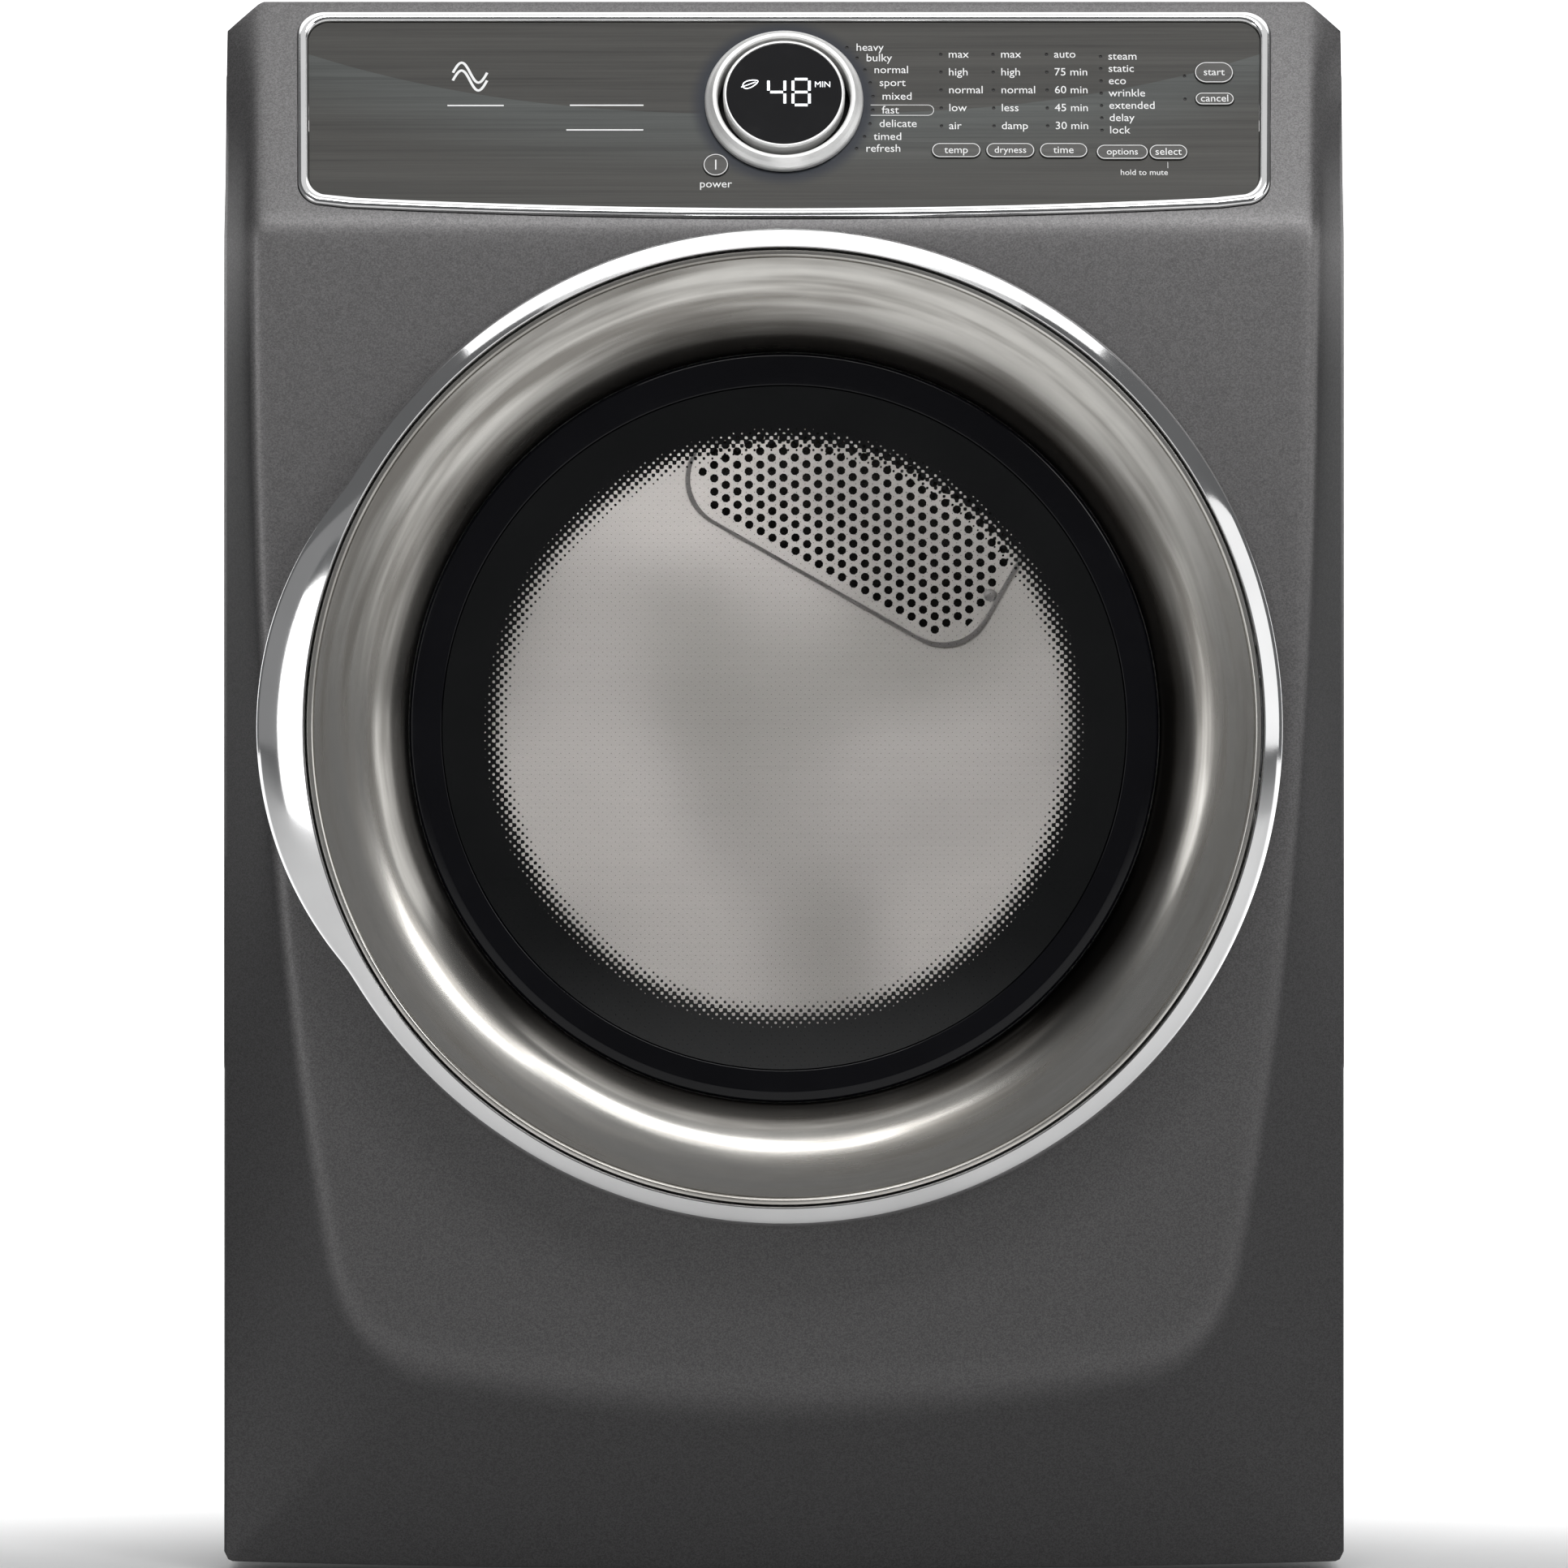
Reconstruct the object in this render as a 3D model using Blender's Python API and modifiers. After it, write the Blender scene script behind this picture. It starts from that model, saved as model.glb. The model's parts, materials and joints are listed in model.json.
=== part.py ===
"""Front-load clothes dryer, 27 inch class, as an assembly of separate named pieces.

Metres, +Z up, origin at the middle of the footprint on the floor. The front faces -Y.
Most pieces are laid out in a front view: x to the right, z up, and a "forward" distance
from the middle of the cabinet towards the front, so that y = -forward.
"""

import math

import bmesh
import bpy

# Overall size
WIDTH = 0.686
HEIGHT = 0.965
DEPTH = 0.800
HALF_WIDTH = WIDTH / 2
BACK = -DEPTH / 2

# Cabinet
SHEET = 0.0012
GAP = 0.0004
CORNER_CUT = 0.021
CORNER_DROP = 0.018
PANEL_BACK = 0.262
SIDE_BACK = -0.385
SIDE_TOP = HEIGHT - 0.0216
BASE_FLOOR = 0.020
BASE_TOP = 0.040
FOOT_X = 0.290
FOOT_FORWARD = 0.215
FLANGE = 0.020

# Front panel
PANEL_FRONT = 0.344
PANEL_THICK = 0.0025
PANEL_BOTTOM = 0.004
SLOPE = math.radians(24)
CREASE_Z = 0.822
PLATEAU_TOP_HALF = 0.325
PLATEAU_TAPER = 0.060
PLATEAU_BOTTOM = 0.124
PLATEAU_CORNER = 0.040
EDGE_RECESS = 0.018
SIDE_RECESS = 0.020

# Console, in its own sloped plane
DIAL_Z = 0.900
TRIM_HALF = 0.299
TRIM_TOP = 0.063
TRIM_BOTTOM = 0.080
TRIM_SAG = 0.009
TRIM_BAND = 0.0065
KEY_OUT = 0.0012
KEY_IN = 0.006
DIAL_OUTER = 0.0485
DIAL_INNER = 0.0406
DISPLAY_RADIUS = 0.0372
DISPLAY_OUT = 0.012
HOUSING_DEPTH = 0.032

# Door
DOOR_Z = 0.517
DOOR_RADIUS = 0.300
DOOR_CREST = -BACK
DOOR_BACK = 0.3505
RING_WIDTH = 0.0125
LIP_FRONT = 0.014
LIP_BACK = 0.030
DISH_OUTER = 0.2870
DISH_LIP = 0.3985
DISH_SILL = 0.3650
DISH_WALL = 0.0025
DISH_STEPS = 7
WINDOW_RADIUS = 0.2265
GLASS_RADIUS = 0.2065
BULGE_RADIUS = 0.220
BULGE_OFFSET = -0.098
HINGE_X = 0.286
HINGE_FORWARD = 0.366
HINGE_REACH = 0.050
PIN_RADIUS = 0.003
KNUCKLE_RADIUS = 0.0055

# Drum and its drive
DRUM_RADIUS = 0.314
DRUM_WALL = 0.0015
DRUM_FRONT = 0.250
DRUM_REAR = -0.322
THROAT_RADIUS = 0.222
THROAT_FRONT = 0.3362
COLLAR_REAR = 0.228
BULKHEAD_FRONT = 0.258
REAR_WALL = -0.328
BAFFLE_HEIGHT = 0.062
ROLLER_RADIUS = 0.027
ROLLER_ANGLE = math.radians(40)
SHAFT_RADIUS = 0.006
MOTOR_X = 0.120
MOTOR_Z = 0.118
MOTOR_PULLEY = 0.016
BELT_FORWARD = -0.027
BELT_WIDTH = 0.010
BELT_THICK = 0.003
BELT_ARC_STEPS = 34
IDLER_RADIUS = 0.020
EXHAUST_RADIUS = 0.0508
EXHAUST_Z = 0.092
BLOWER_MIDDLE = 0.224
BLOWER_RADIUS = 0.088
INLET_RADIUS = 0.0600
BULKHEAD_THICK = 0.002
COLLAR_OUTER = 0.305
DUCT_WALL = 0.0020
GRILLE_TILT = math.radians(-29.5)
GRILLE_LOW = 0.104
GRILLE_LEFT = -0.152
GRILLE_RIGHT = 0.084
GRILLE_RADIUS = 0.255
GRILLE_PITCH = 0.0270
GRILLE_HOLE = 0.0075

ROUND = 40


# ---------------------------------------------------------------- helpers


def clear_scene():
    for item in list(bpy.data.objects):
        bpy.data.objects.remove(item, do_unlink=True)


def collection(name):
    made = bpy.data.collections.new(name)
    bpy.context.scene.collection.children.link(made)
    return made


def look(name, colour, roughness, metallic=0.0):
    """A Principled material, made once for each name."""
    made = bpy.data.materials.get(name)
    if made is None:
        made = bpy.data.materials.new(name)
        made.use_nodes = True
        shader = made.node_tree.nodes["Principled BSDF"]
        shader.inputs["Base Color"].default_value = (*colour, 1.0)
        shader.inputs["Roughness"].default_value = roughness
        shader.inputs["Metallic"].default_value = metallic
        made.diffuse_color = (*colour, 1.0)
    return made


def place(name, data, finish, parent=None, at=(0, 0, 0), turn=(0, 0, 0)):
    """A named object in the dryer's collection."""
    item = bpy.data.objects.new(name, data)
    item.location = at
    item.rotation_euler = turn
    item.parent = parent
    if finish is not None:
        data.materials.append(finish)
    PARTS.objects.link(item)
    return item


def empty(name, at, turn=(0, 0, 0), parent=None):
    item = bpy.data.objects.new(name, None)
    item.empty_display_size = 0.05
    item.location = at
    item.rotation_euler = turn
    item.parent = parent
    PARTS.objects.link(item)
    return item


def as_cutter(item):
    """Turns a piece into a hidden tool for Booleans."""
    PARTS.objects.unlink(item)
    CUTTERS.objects.link(item)
    item.hide_render = True
    item.display_type = "WIRE"
    return item


def block(name, low, high, finish=None, parent=None):
    """A box between two corners, with its origin at its middle."""
    mesh = bpy.data.meshes.new(name)
    bm = bmesh.new()
    bmesh.ops.create_cube(bm, size=1.0)
    size = [b - a for a, b in zip(low, high)]
    bmesh.ops.scale(bm, vec=size, verts=bm.verts)
    bm.to_mesh(mesh)
    bm.free()
    middle = [(a + b) / 2 for a, b in zip(low, high)]
    return place(name, mesh, finish, parent, middle)


def open_box(name, low, high, open_side, wall, finish, parent=None):
    """A sheet box with one side left out: open_side is the outward direction of that side."""
    item = block(name, low, high, finish, parent)
    bm = bmesh.new()
    bm.from_mesh(item.data)
    bm.normal_update()
    gone = [face for face in bm.faces if face.normal.dot(open_side) > 0.9]
    bmesh.ops.delete(bm, geom=gone, context="FACES")
    bm.to_mesh(item.data)
    bm.free()
    solidify(item, wall)
    return item


def solidify(item, thickness):
    made = item.modifiers.new("Thickness", "SOLIDIFY")
    made.thickness = thickness
    made.offset = -1
    made.use_even_offset = True


def turned(name, profile, finish=None, parent=None, at=(0, 0, 0), steps=ROUND, turn=(0, 0, 0)):
    """A turned piece: (radius, height) points down the outer side, turned about local Z.

    A profile that touches the axis at both ends stays open there, any other is a closed loop.
    """
    mesh = bpy.data.meshes.new(name)
    area = sum(a[0] * b[1] - b[0] * a[1] for a, b in zip(profile, profile[1:] + profile[:1]))
    points = profile if area < 0 else profile[::-1]
    count = len(points)
    solid_core = min(radius for radius, _ in points) < 1e-6
    edges = [(i, (i + 1) % count) for i in range(count - 1 if solid_core else count)]
    mesh.from_pydata([(radius, 0, height) for radius, height in points], edges, [])
    item = place(name, mesh, finish, parent, at, turn)
    screw = item.modifiers.new("Turn", "SCREW")
    screw.steps = screw.render_steps = steps
    screw.use_merge_vertices = True
    screw.merge_threshold = 0.00005
    return item


def plate(name, outlines, back, front, finish=None, parent=None, at=(0, 0), turn=0.0):
    """A flat piece: outlines in local x and y, the inner ones holes, from z back to z front."""
    curve = bpy.data.curves.new(name, "CURVE")
    curve.dimensions = "2D"
    curve.fill_mode = "BOTH"
    curve.extrude = (front - back) / 2
    for outline in outlines:
        spline = curve.splines.new("POLY")
        spline.points.add(len(outline) - 1)
        for point, (x, y) in zip(spline.points, outline):
            point.co = (x, y, 0, 1)
        spline.use_cyclic_u = True
    return place(name, curve, finish, parent, (*at, (back + front) / 2), (0, 0, turn))


def as_mesh(item):
    """Replaces a curve object by the welded mesh it makes, so that it can be cut or joined."""
    graph = bpy.context.evaluated_depsgraph_get()
    mesh = bpy.data.meshes.new_from_object(item.evaluated_get(graph))
    bm = bmesh.new()
    bm.from_mesh(mesh)
    bmesh.ops.remove_doubles(bm, verts=bm.verts, dist=0.00001)
    bmesh.ops.recalc_face_normals(bm, faces=bm.faces)
    bm.to_mesh(mesh)
    bm.free()
    name = item.name
    item.name = name + "_outline"
    made = bpy.data.objects.new(name, mesh)
    made.parent = item.parent
    made.matrix_world = item.matrix_world.copy()
    item.users_collection[0].objects.link(made)
    bpy.data.objects.remove(item, do_unlink=True)
    bpy.context.view_layer.update()
    return made


def combine(item, tool, operation="DIFFERENCE"):
    made = item.modifiers.new(operation.title(), "BOOLEAN")
    made.operation = operation
    made.object = as_cutter(tool)
    return item


def arc(radius, start, end, steps, centre=(0, 0)):
    """Points along an arc, angles in degrees, both ends included."""
    angles = [math.radians(start + (end - start) * i / steps) for i in range(steps + 1)]
    return [(centre[0] + radius * math.cos(a), centre[1] + radius * math.sin(a)) for a in angles]


def circle(radius, steps=ROUND, centre=(0, 0)):
    return arc(radius, 0, 360, steps, centre)[:-1]


def rectangle(x0, y0, x1, y1):
    return [(x0, y0), (x1, y0), (x1, y1), (x0, y1)]


def rounded(x0, y0, x1, y1, radius, steps=4):
    """A rectangle with round corners."""
    corners = ((x1, y1, -1, -1, 0), (x0, y1, 1, -1, 90), (x0, y0, 1, 1, 180), (x1, y0, -1, 1, 270))
    return [
        point
        for x, y, sx, sy, start in corners
        for point in arc(radius, start, start + 90, steps, (x + sx * radius, y + sy * radius))
    ]


def pill(x, y, width, height):
    radius = height / 2 - 0.0001
    return rounded(x - width / 2, y - height / 2, x + width / 2, y + height / 2, radius, 3)


def blend(a, b, share):
    return a + (b - a) * share


def smooth(value):
    value = min(1.0, max(0.0, value))
    return value * value * (3 - 2 * value)


# ---------------------------------------------------------------- cabinet


def make_base_pan():
    low = (-HALF_WIDTH + SHEET + GAP, -(PANEL_BACK - SHEET - 0.0008), BASE_FLOOR)
    high = (HALF_WIDTH - SHEET - GAP, -(SIDE_BACK + SHEET + GAP), BASE_TOP)
    open_box("base_pan", low, high, (0, 0, 1), 0.0015, ZINC)


def make_feet():
    profile = [(0, 0.0196), (0.006, 0.0196), (0.006, 0.011), (0.016, 0.011), (0.019, 0.006)]
    profile += [(0.019, 0), (0, 0)]
    for side, x in (("left", -FOOT_X), ("right", FOOT_X)):
        for end, forward in (("front", FOOT_FORWARD), ("rear", -FOOT_FORWARD - 0.120)):
            turned(f"foot_{end}_{side}", profile, RUBBER, at=(x, -forward, 0), steps=16)


def make_side_panels():
    """Sheet panels with a flange turned in along their front and rear edges."""
    front = -(PANEL_BACK - GAP)
    back = -SIDE_BACK
    outer = HALF_WIDTH
    inner = HALF_WIDTH - SHEET
    edge = HALF_WIDTH - FLANGE
    outline = [(outer, front), (outer, back), (edge, back), (edge, back - SHEET)]
    outline += [(inner, back - SHEET), (inner, front + SHEET), (edge, front + SHEET), (edge, front)]
    plate("side_panel_right", [outline], 0.012, SIDE_TOP, PAINT_SIDE)
    plate("side_panel_left", [[(-x, y) for x, y in outline]], 0.012, SIDE_TOP, PAINT_SIDE)


def make_top_panel():
    """A sheet with its two long edges rolled down, seen from the front as one outline."""
    half = HALF_WIDTH
    cut = half - CORNER_CUT
    wall = 0.0015
    lip = SIDE_TOP + GAP
    shoulder = HEIGHT - CORNER_DROP
    right = [(cut, HEIGHT), (half, shoulder), (half, lip), (half - wall, lip)]
    right += [(half - wall, shoulder - wall / 2), (cut - wall / 2, HEIGHT - wall)]
    outline = right + [(-x, z) for x, z in reversed(right)]
    plate("top_panel", [outline], SIDE_BACK - 0.002, PANEL_BACK - GAP, PAINT_SIDE, FRONT_VIEW)


def make_rear_panel():
    """A flat sheet with the exhaust hole, the terminal opening and two groups of louvre slots."""
    holes = [circle(EXHAUST_RADIUS + 0.003, 32, (0, EXHAUST_Z))]
    holes.append(rectangle(-0.255, 0.815, -0.195, 0.865))
    for side in (-1, 1):
        for row in range(5):
            x, z = side * 0.200, 0.300 + row * 0.020
            holes.append(rounded(x - 0.045, z - 0.003, x + 0.045, z + 0.003, 0.0029, 1))
    outline = [(-0.335, 0.022), (0.335, 0.022), (0.335, 0.944)]
    outline += [(0.317, 0.960), (-0.317, 0.960), (-0.335, 0.944)]
    back = SIDE_BACK - GAP
    plate("rear_panel", [outline] + holes, back - 0.0015, back, ZINC, FRONT_VIEW)


def make_terminal_cover():
    """The box over the supply terminals, with the round cord inlet in its lower wall."""
    back = -(SIDE_BACK - GAP - 0.0015 - GAP)
    cover = open_box(
        "terminal_cover", (-0.280, back, 0.800), (-0.170, 0.3995, 0.880), (0, -1, 0), 0.0012, ZINC
    )
    inlet = turned("cord_inlet", [(0, 0.815), (0.0045, 0.815), (0.0045, 0.790), (0, 0.790)], steps=20)
    inlet.location = (-0.225, back + 0.0064, 0)
    combine(cover, inlet)


# ---------------------------------------------------------------- front panel


def panel_forward(x, z):
    """How far forward the painted face is: a raised plateau, receding to the outer edge."""
    face = PANEL_FRONT - math.tan(SLOPE) * max(0.0, z - CREASE_Z)
    fall = min(1.0, (HEIGHT - 0.005 - z) / 0.790)
    half = PLATEAU_TOP_HALF - PLATEAU_TAPER * fall**3
    side = abs(x) - half
    bottom = PLATEAU_BOTTOM + 0.008 * (x / 0.156) ** 2 - z
    corner = PLATEAU_CORNER
    beyond = math.hypot(max(side + corner, 0), max(bottom + corner, 0)) - corner
    if beyond <= 0:
        return face
    to_edge = max(0.0, min(HALF_WIDTH - abs(x), z - PANEL_BOTTOM))
    share = beyond / (beyond + to_edge)
    recess = EDGE_RECESS + SIDE_RECESS * (x / HALF_WIDTH) ** 2
    recess *= 1 - 0.8 * smooth((z - CREASE_Z) / (HEIGHT - CREASE_Z))
    return face - share * recess


def make_front_panel():
    """A formed shell: its face follows panel_forward, and its rim turns back to the cabinet."""
    mesh = bpy.data.meshes.new("front_panel")
    bm = bmesh.new()
    bmesh.ops.create_grid(bm, x_segments=18, y_segments=22, size=0.5)
    for vert in bm.verts:
        spread = math.sin(vert.co.x * math.pi) / 2 * 0.45 + vert.co.x * 0.55
        vert.co.x = spread * WIDTH
        vert.co.y = PANEL_BOTTOM + (vert.co.y + 0.5) * (HEIGHT - PANEL_BOTTOM)
    geometry = bm.verts[:] + bm.edges[:] + bm.faces[:]
    crease = (0, CREASE_Z, 0)
    bmesh.ops.bisect_plane(bm, geom=geometry, plane_co=crease, plane_no=(0, 1, 0), dist=0.001)
    for side in (-1, 1):
        geometry = bm.verts[:] + bm.edges[:] + bm.faces[:]
        corner = (side * HALF_WIDTH, HEIGHT - CORNER_DROP, 0)
        slant = (side * CORNER_DROP, CORNER_CUT, 0)
        bmesh.ops.bisect_plane(bm, geom=geometry, plane_co=corner, plane_no=slant, clear_outer=True)
    rim = [edge for edge in bm.edges if edge.is_boundary]
    for vert in bm.verts:
        vert.co.z = panel_forward(vert.co.x, vert.co.y)
    turned_back = bmesh.ops.extrude_edge_only(bm, edges=rim)["geom"]
    for vert in turned_back:
        if isinstance(vert, bmesh.types.BMVert):
            vert.co.z = PANEL_BACK
    bmesh.ops.recalc_face_normals(bm, faces=bm.faces)
    foremost = max(bm.faces, key=lambda face: face.calc_center_median().z)
    if foremost.normal.z < 0:
        bmesh.ops.reverse_faces(bm, faces=bm.faces)
    bm.to_mesh(mesh)
    bm.free()
    panel = place("front_panel", mesh, PAINT, FRONT_VIEW)
    solidify(panel, PANEL_THICK)
    throat = turned("throat_hole", round_block(0.232, 0.300, 0.400), parent=DOOR_VIEW_FIXED)
    combine(panel, throat)
    slot = block("strike_slot", (-0.268, 0.480, 0.320), (-0.246, 0.554, 0.360), parent=FRONT_VIEW)
    combine(panel, slot)
    console_hole = as_mesh(plate("console_hole", [trim_outline(-0.0010)], -0.040, 0.030, None, CONSOLE))
    combine(panel, console_hole)
    return panel


def round_block(radius, back, front):
    """The profile of a plain disc."""
    return [(0, front), (radius, front), (radius, back), (0, back)]


def ring_block(inner, outer, back, front):
    """The profile of a plain ring."""
    return [(inner, front), (outer, front), (outer, back), (inner, back)]


# ---------------------------------------------------------------- console


def trim_outline(inset):
    """The console's outline, with a gently sagging lower edge."""
    half = TRIM_HALF - inset
    top = TRIM_TOP - inset
    low = -TRIM_BOTTOM + TRIM_SAG + inset
    corner = 0.016 - inset / 2
    points = arc(corner, 90, 180, 4, (-half + corner, top - corner))
    points += arc(corner, 180, 255, 4, (-half + corner + 0.003, low + corner))
    for i in range(1, 10):
        x = (i / 5 - 1) * (half - 0.020)
        points.append((x, low - TRIM_SAG * (1 - (x / half) ** 2)))
    points += arc(corner, 285, 360, 4, (half - corner - 0.003, low + corner))
    points += arc(corner, 0, 90, 4, (half - corner, top - corner))
    return points


KEYS = (
    ("power_key", -0.0416, -0.0437, 0.0154, 0.0154),
    ("temp_key", 0.1051, -0.0336, 0.0300, 0.0103),
    ("dryness_key", 0.1381, -0.0336, 0.0297, 0.0103),
    ("time_key", 0.1706, -0.0336, 0.0293, 0.0103),
    ("options_key", 0.2064, -0.0348, 0.0315, 0.0103),
    ("select_key", 0.2345, -0.0348, 0.0235, 0.0103),
    ("start_key", 0.2636, 0.0207, 0.0238, 0.0147),
    ("cancel_key", 0.2636, 0.0023, 0.0238, 0.0087),
)


def make_console():
    plate("console_trim", [trim_outline(0), trim_outline(TRIM_BAND)], -0.003, 0.0028, CHROME, CONSOLE)
    holes = [circle(0.0455, 32)] + [pill(x, y, w + 0.0006, h + 0.0006) for _, x, y, w, h in KEYS]
    fascia = [trim_outline(TRIM_BAND + 0.0003)] + holes
    plate("console_fascia", fascia, -0.0025, 0.0, FASCIA, CONSOLE)
    for name, x, y, width, height in KEYS:
        plate(name, [pill(0, 0, width, height)], -KEY_IN, KEY_OUT, FASCIA, CONSOLE, (x, y))


def make_dial():
    """The turning ring, with a sleeve that goes down through the fascia."""
    sleeve = DIAL_INNER + 0.0035
    ring = [(DIAL_INNER, 0.0085), (DIAL_INNER + 0.003, 0.0095), (DIAL_OUTER - 0.002, 0.0060)]
    ring += [(DIAL_OUTER, 0.0035), (DIAL_OUTER, 0.0006), (sleeve, 0.0006), (sleeve, -0.008)]
    ring += [(DIAL_INNER, -0.008)]
    turned("dial_ring", ring, SILVER, CONSOLE, steps=32)


def make_display():
    """A fixed round turret inside the dial, standing on the control board."""
    rim = DISPLAY_RADIUS
    out = DISPLAY_OUT
    turret = [(0.0352, out), (rim - 0.0008, out), (rim, out - 0.001), (rim, 0.002)]
    turret += [(0.030, -0.004), (0.030, -0.0175), (0.027, -0.0175), (0.027, -0.002)]
    turret += [(0.0352, 0.006)]
    turned("display_turret", turret, SILVER, CONSOLE, steps=28)
    lens = [(0, out - 0.0005), (0.0349, out - 0.0005), (0.0349, out - 0.0040), (0, out - 0.0040)]
    turned("display_lens", lens, BLACK_GLOSS, CONSOLE, steps=28)


def make_console_housing():
    """The tray behind the fascia that carries the display turret."""
    back = -HOUSING_DEPTH
    low = (-0.285, -0.062, back)
    high = (0.285, 0.050, -0.0035)
    open_box("console_housing", low, high, (0, 0, 1), 0.0015, BLACK_PLASTIC, CONSOLE)


# ---------------------------------------------------------------- door


def dish_profile():
    """The bell-shaped dish: gentle beside the door's lip, steep beside the window."""
    front = []
    for i in range(DISH_STEPS + 1):
        t = math.sin(i / DISH_STEPS * math.pi / 2)
        height = DISH_SILL + (DISH_LIP - DISH_SILL) * math.sqrt(1 - t * t)
        front.append((blend(DISH_OUTER, WINDOW_RADIUS + GAP, t), height))
    back = []
    for i, (radius, height) in enumerate(front):
        back.append((radius + DISH_WALL * i / DISH_STEPS, height - DISH_WALL))
    return front + back[::-1]


def make_door_ring():
    """The chrome outer ring, with the handle lip bulging out on the side away from the hinge."""
    r, crest = DOOR_RADIUS, DOOR_CREST
    wall = 0.0027
    profile = [(r - RING_WIDTH, crest - 0.0004), (r - RING_WIDTH + 0.0015, crest)]
    profile += [(r - 0.0020, crest - 0.0080), (r, crest - 0.0115), (r, DOOR_BACK)]
    profile += [(r - wall, DOOR_BACK)]
    profile += [(r - wall, crest - LIP_BACK), (r - wall - 0.0015, crest - 0.024)]
    profile += [(r - RING_WIDTH, crest - 0.004)]
    ring = turned("door_ring", profile, CHROME, DOOR_VIEW)
    centre = (BULGE_OFFSET, 0)
    outer = arc(BULGE_RADIUS, 139, 221, 14, centre)
    inner = arc(r - 0.0010, 206, 154, 12)
    back, front = crest - LIP_BACK, crest - LIP_FRONT
    lip = as_mesh(plate("handle_lip", [outer + inner], back, front, None, DOOR_VIEW))
    combine(ring, lip, "UNION")
    combine(ring, hinge_notch("ring_notch"))
    return ring


def hinge_notch(name):
    low = (HINGE_X - 0.0140, -HINGE_REACH, 0.340)
    high = (HINGE_X + 0.0240, HINGE_REACH, HINGE_FORWARD + 0.008)
    return block(name, low, high, parent=DOOR_VIEW)


def make_door():
    make_door_ring()
    turned("door_dish", dish_profile(), DISH, DOOR_VIEW)
    rim = WINDOW_RADIUS
    bezel = [(GLASS_RADIUS + 0.0004, 0.3665), (rim - 0.004, 0.3665), (rim, 0.3650), (rim, 0.3560)]
    bezel += [(GLASS_RADIUS + 0.0004, 0.3560)]
    turned("window_bezel", bezel, BLACK_GLOSS, DOOR_VIEW)
    glass = GLASS_RADIUS
    pane = [(0, 0.3700), (glass * 0.6, 0.3688), (glass, 0.3655), (glass, 0.3615)]
    pane += [(glass * 0.6, 0.3648), (0, 0.3660)]
    turned("window_glass", pane, GLASS, DOOR_VIEW)
    liner = [(0.2130, 0.3500), (0.2920, 0.3500), (0.2920, 0.3470), (0.2165, 0.3470)]
    liner += [(0.2165, 0.3300), (0.2130, 0.3300)]
    liner_plate = turned("door_liner", liner, WHITE_PLASTIC, DOOR_VIEW)
    combine(liner_plate, hinge_notch("liner_notch"))
    bowl = [(0, 0.2790), (0.1600, 0.2860), (0.2000, 0.3330), (0.2075, 0.3540), (0.2125, 0.3540)]
    bowl += [(0.2125, 0.3500), (0.2060, 0.3300), (0.1650, 0.2820), (0, 0.2750)]
    turned("window_bowl", bowl, GLASS, DOOR_VIEW)
    block("door_strike", (-0.262, -0.012, 0.322), (-0.254, 0.012, 0.3467), STEEL, DOOR_VIEW)


def make_hinge():
    """A leaf on the door between the two ears of a bracket on the cabinet, with its pin staked in."""
    at = (HINGE_X, -HINGE_FORWARD, DOOR_Z)
    bore = [(0, 0.020), (PIN_RADIUS + GAP, 0.020), (PIN_RADIUS + GAP, -0.020), (0, -0.020)]
    barrel = round_block(KNUCKLE_RADIUS, -0.013, 0.013)
    leaf = turned("hinge_leaf", barrel, STEEL, HINGE, steps=20)
    arm = block("leaf_arm", (-0.030, 0.0010, -0.013), (-0.0020, 0.0050, 0.013), parent=HINGE)
    foot = block("leaf_foot", (-0.034, 0.0010, -0.040), (-0.0180, 0.0155, 0.040), parent=HINGE)
    combine(leaf, arm, "UNION")
    combine(leaf, foot, "UNION")
    combine(leaf, turned("leaf_bore", bore, parent=HINGE, steps=20))
    bracket = block("hinge_bracket", (-0.0050, 0.0175, -0.045), (0.0050, 0.0215, 0.045), STEEL)
    bracket.location = [a + b for a, b in zip(at, (0, 0.0195, 0))]
    for end in (-1, 1):
        middle = end * 0.022
        ear = round_block(KNUCKLE_RADIUS - 0.0005, middle - 0.008, middle + 0.008)
        combine(bracket, turned(f"ear_{end + 2}", ear, at=at, steps=20), "UNION")
        low = (at[0] - 0.0040, at[1], at[2] + middle - 0.008)
        high = (at[0] + 0.0040, at[1] + 0.019, at[2] + middle + 0.008)
        combine(bracket, block(f"web_{end + 2}", low, high), "UNION")
    pin = round_block(PIN_RADIUS, -0.0315, 0.0315)
    combine(bracket, turned("hinge_pin", pin, at=at, steps=20), "UNION")


def make_latch():
    low, high = (-0.274, 0.485, 0.300), (-0.242, 0.549, 0.3385)
    catch = block("door_latch", low, high, BLACK_PLASTIC, FRONT_VIEW)
    low, high = (-0.267, 0.495, 0.315), (-0.249, 0.539, 0.350)
    combine(catch, block("catch_pocket", low, high, parent=FRONT_VIEW))
    gasket = ring_block(0.2190, 0.2305, 0.3367, 0.3466)
    turned("door_gasket", gasket, RUBBER, DOOR_VIEW_FIXED)


# ---------------------------------------------------------------- front bulkhead and lint path


def make_front_bulkhead():
    """The flat inner front wall, open for the throat ring and for the blower's inlet."""
    outline = rounded(-0.330, 0.045, 0.330, 0.850, 0.010, 2)
    throat_hole = circle(COLLAR_OUTER + GAP, ROUND, (0, DOOR_Z))
    inlet_hole = circle(INLET_RADIUS, 24, (MOTOR_X, MOTOR_Z))
    back, front = BULKHEAD_FRONT - BULKHEAD_THICK, BULKHEAD_FRONT
    plate("front_bulkhead", [outline, throat_hole, inlet_hole], back, front, WHITE_PLASTIC, FRONT_VIEW)


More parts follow.
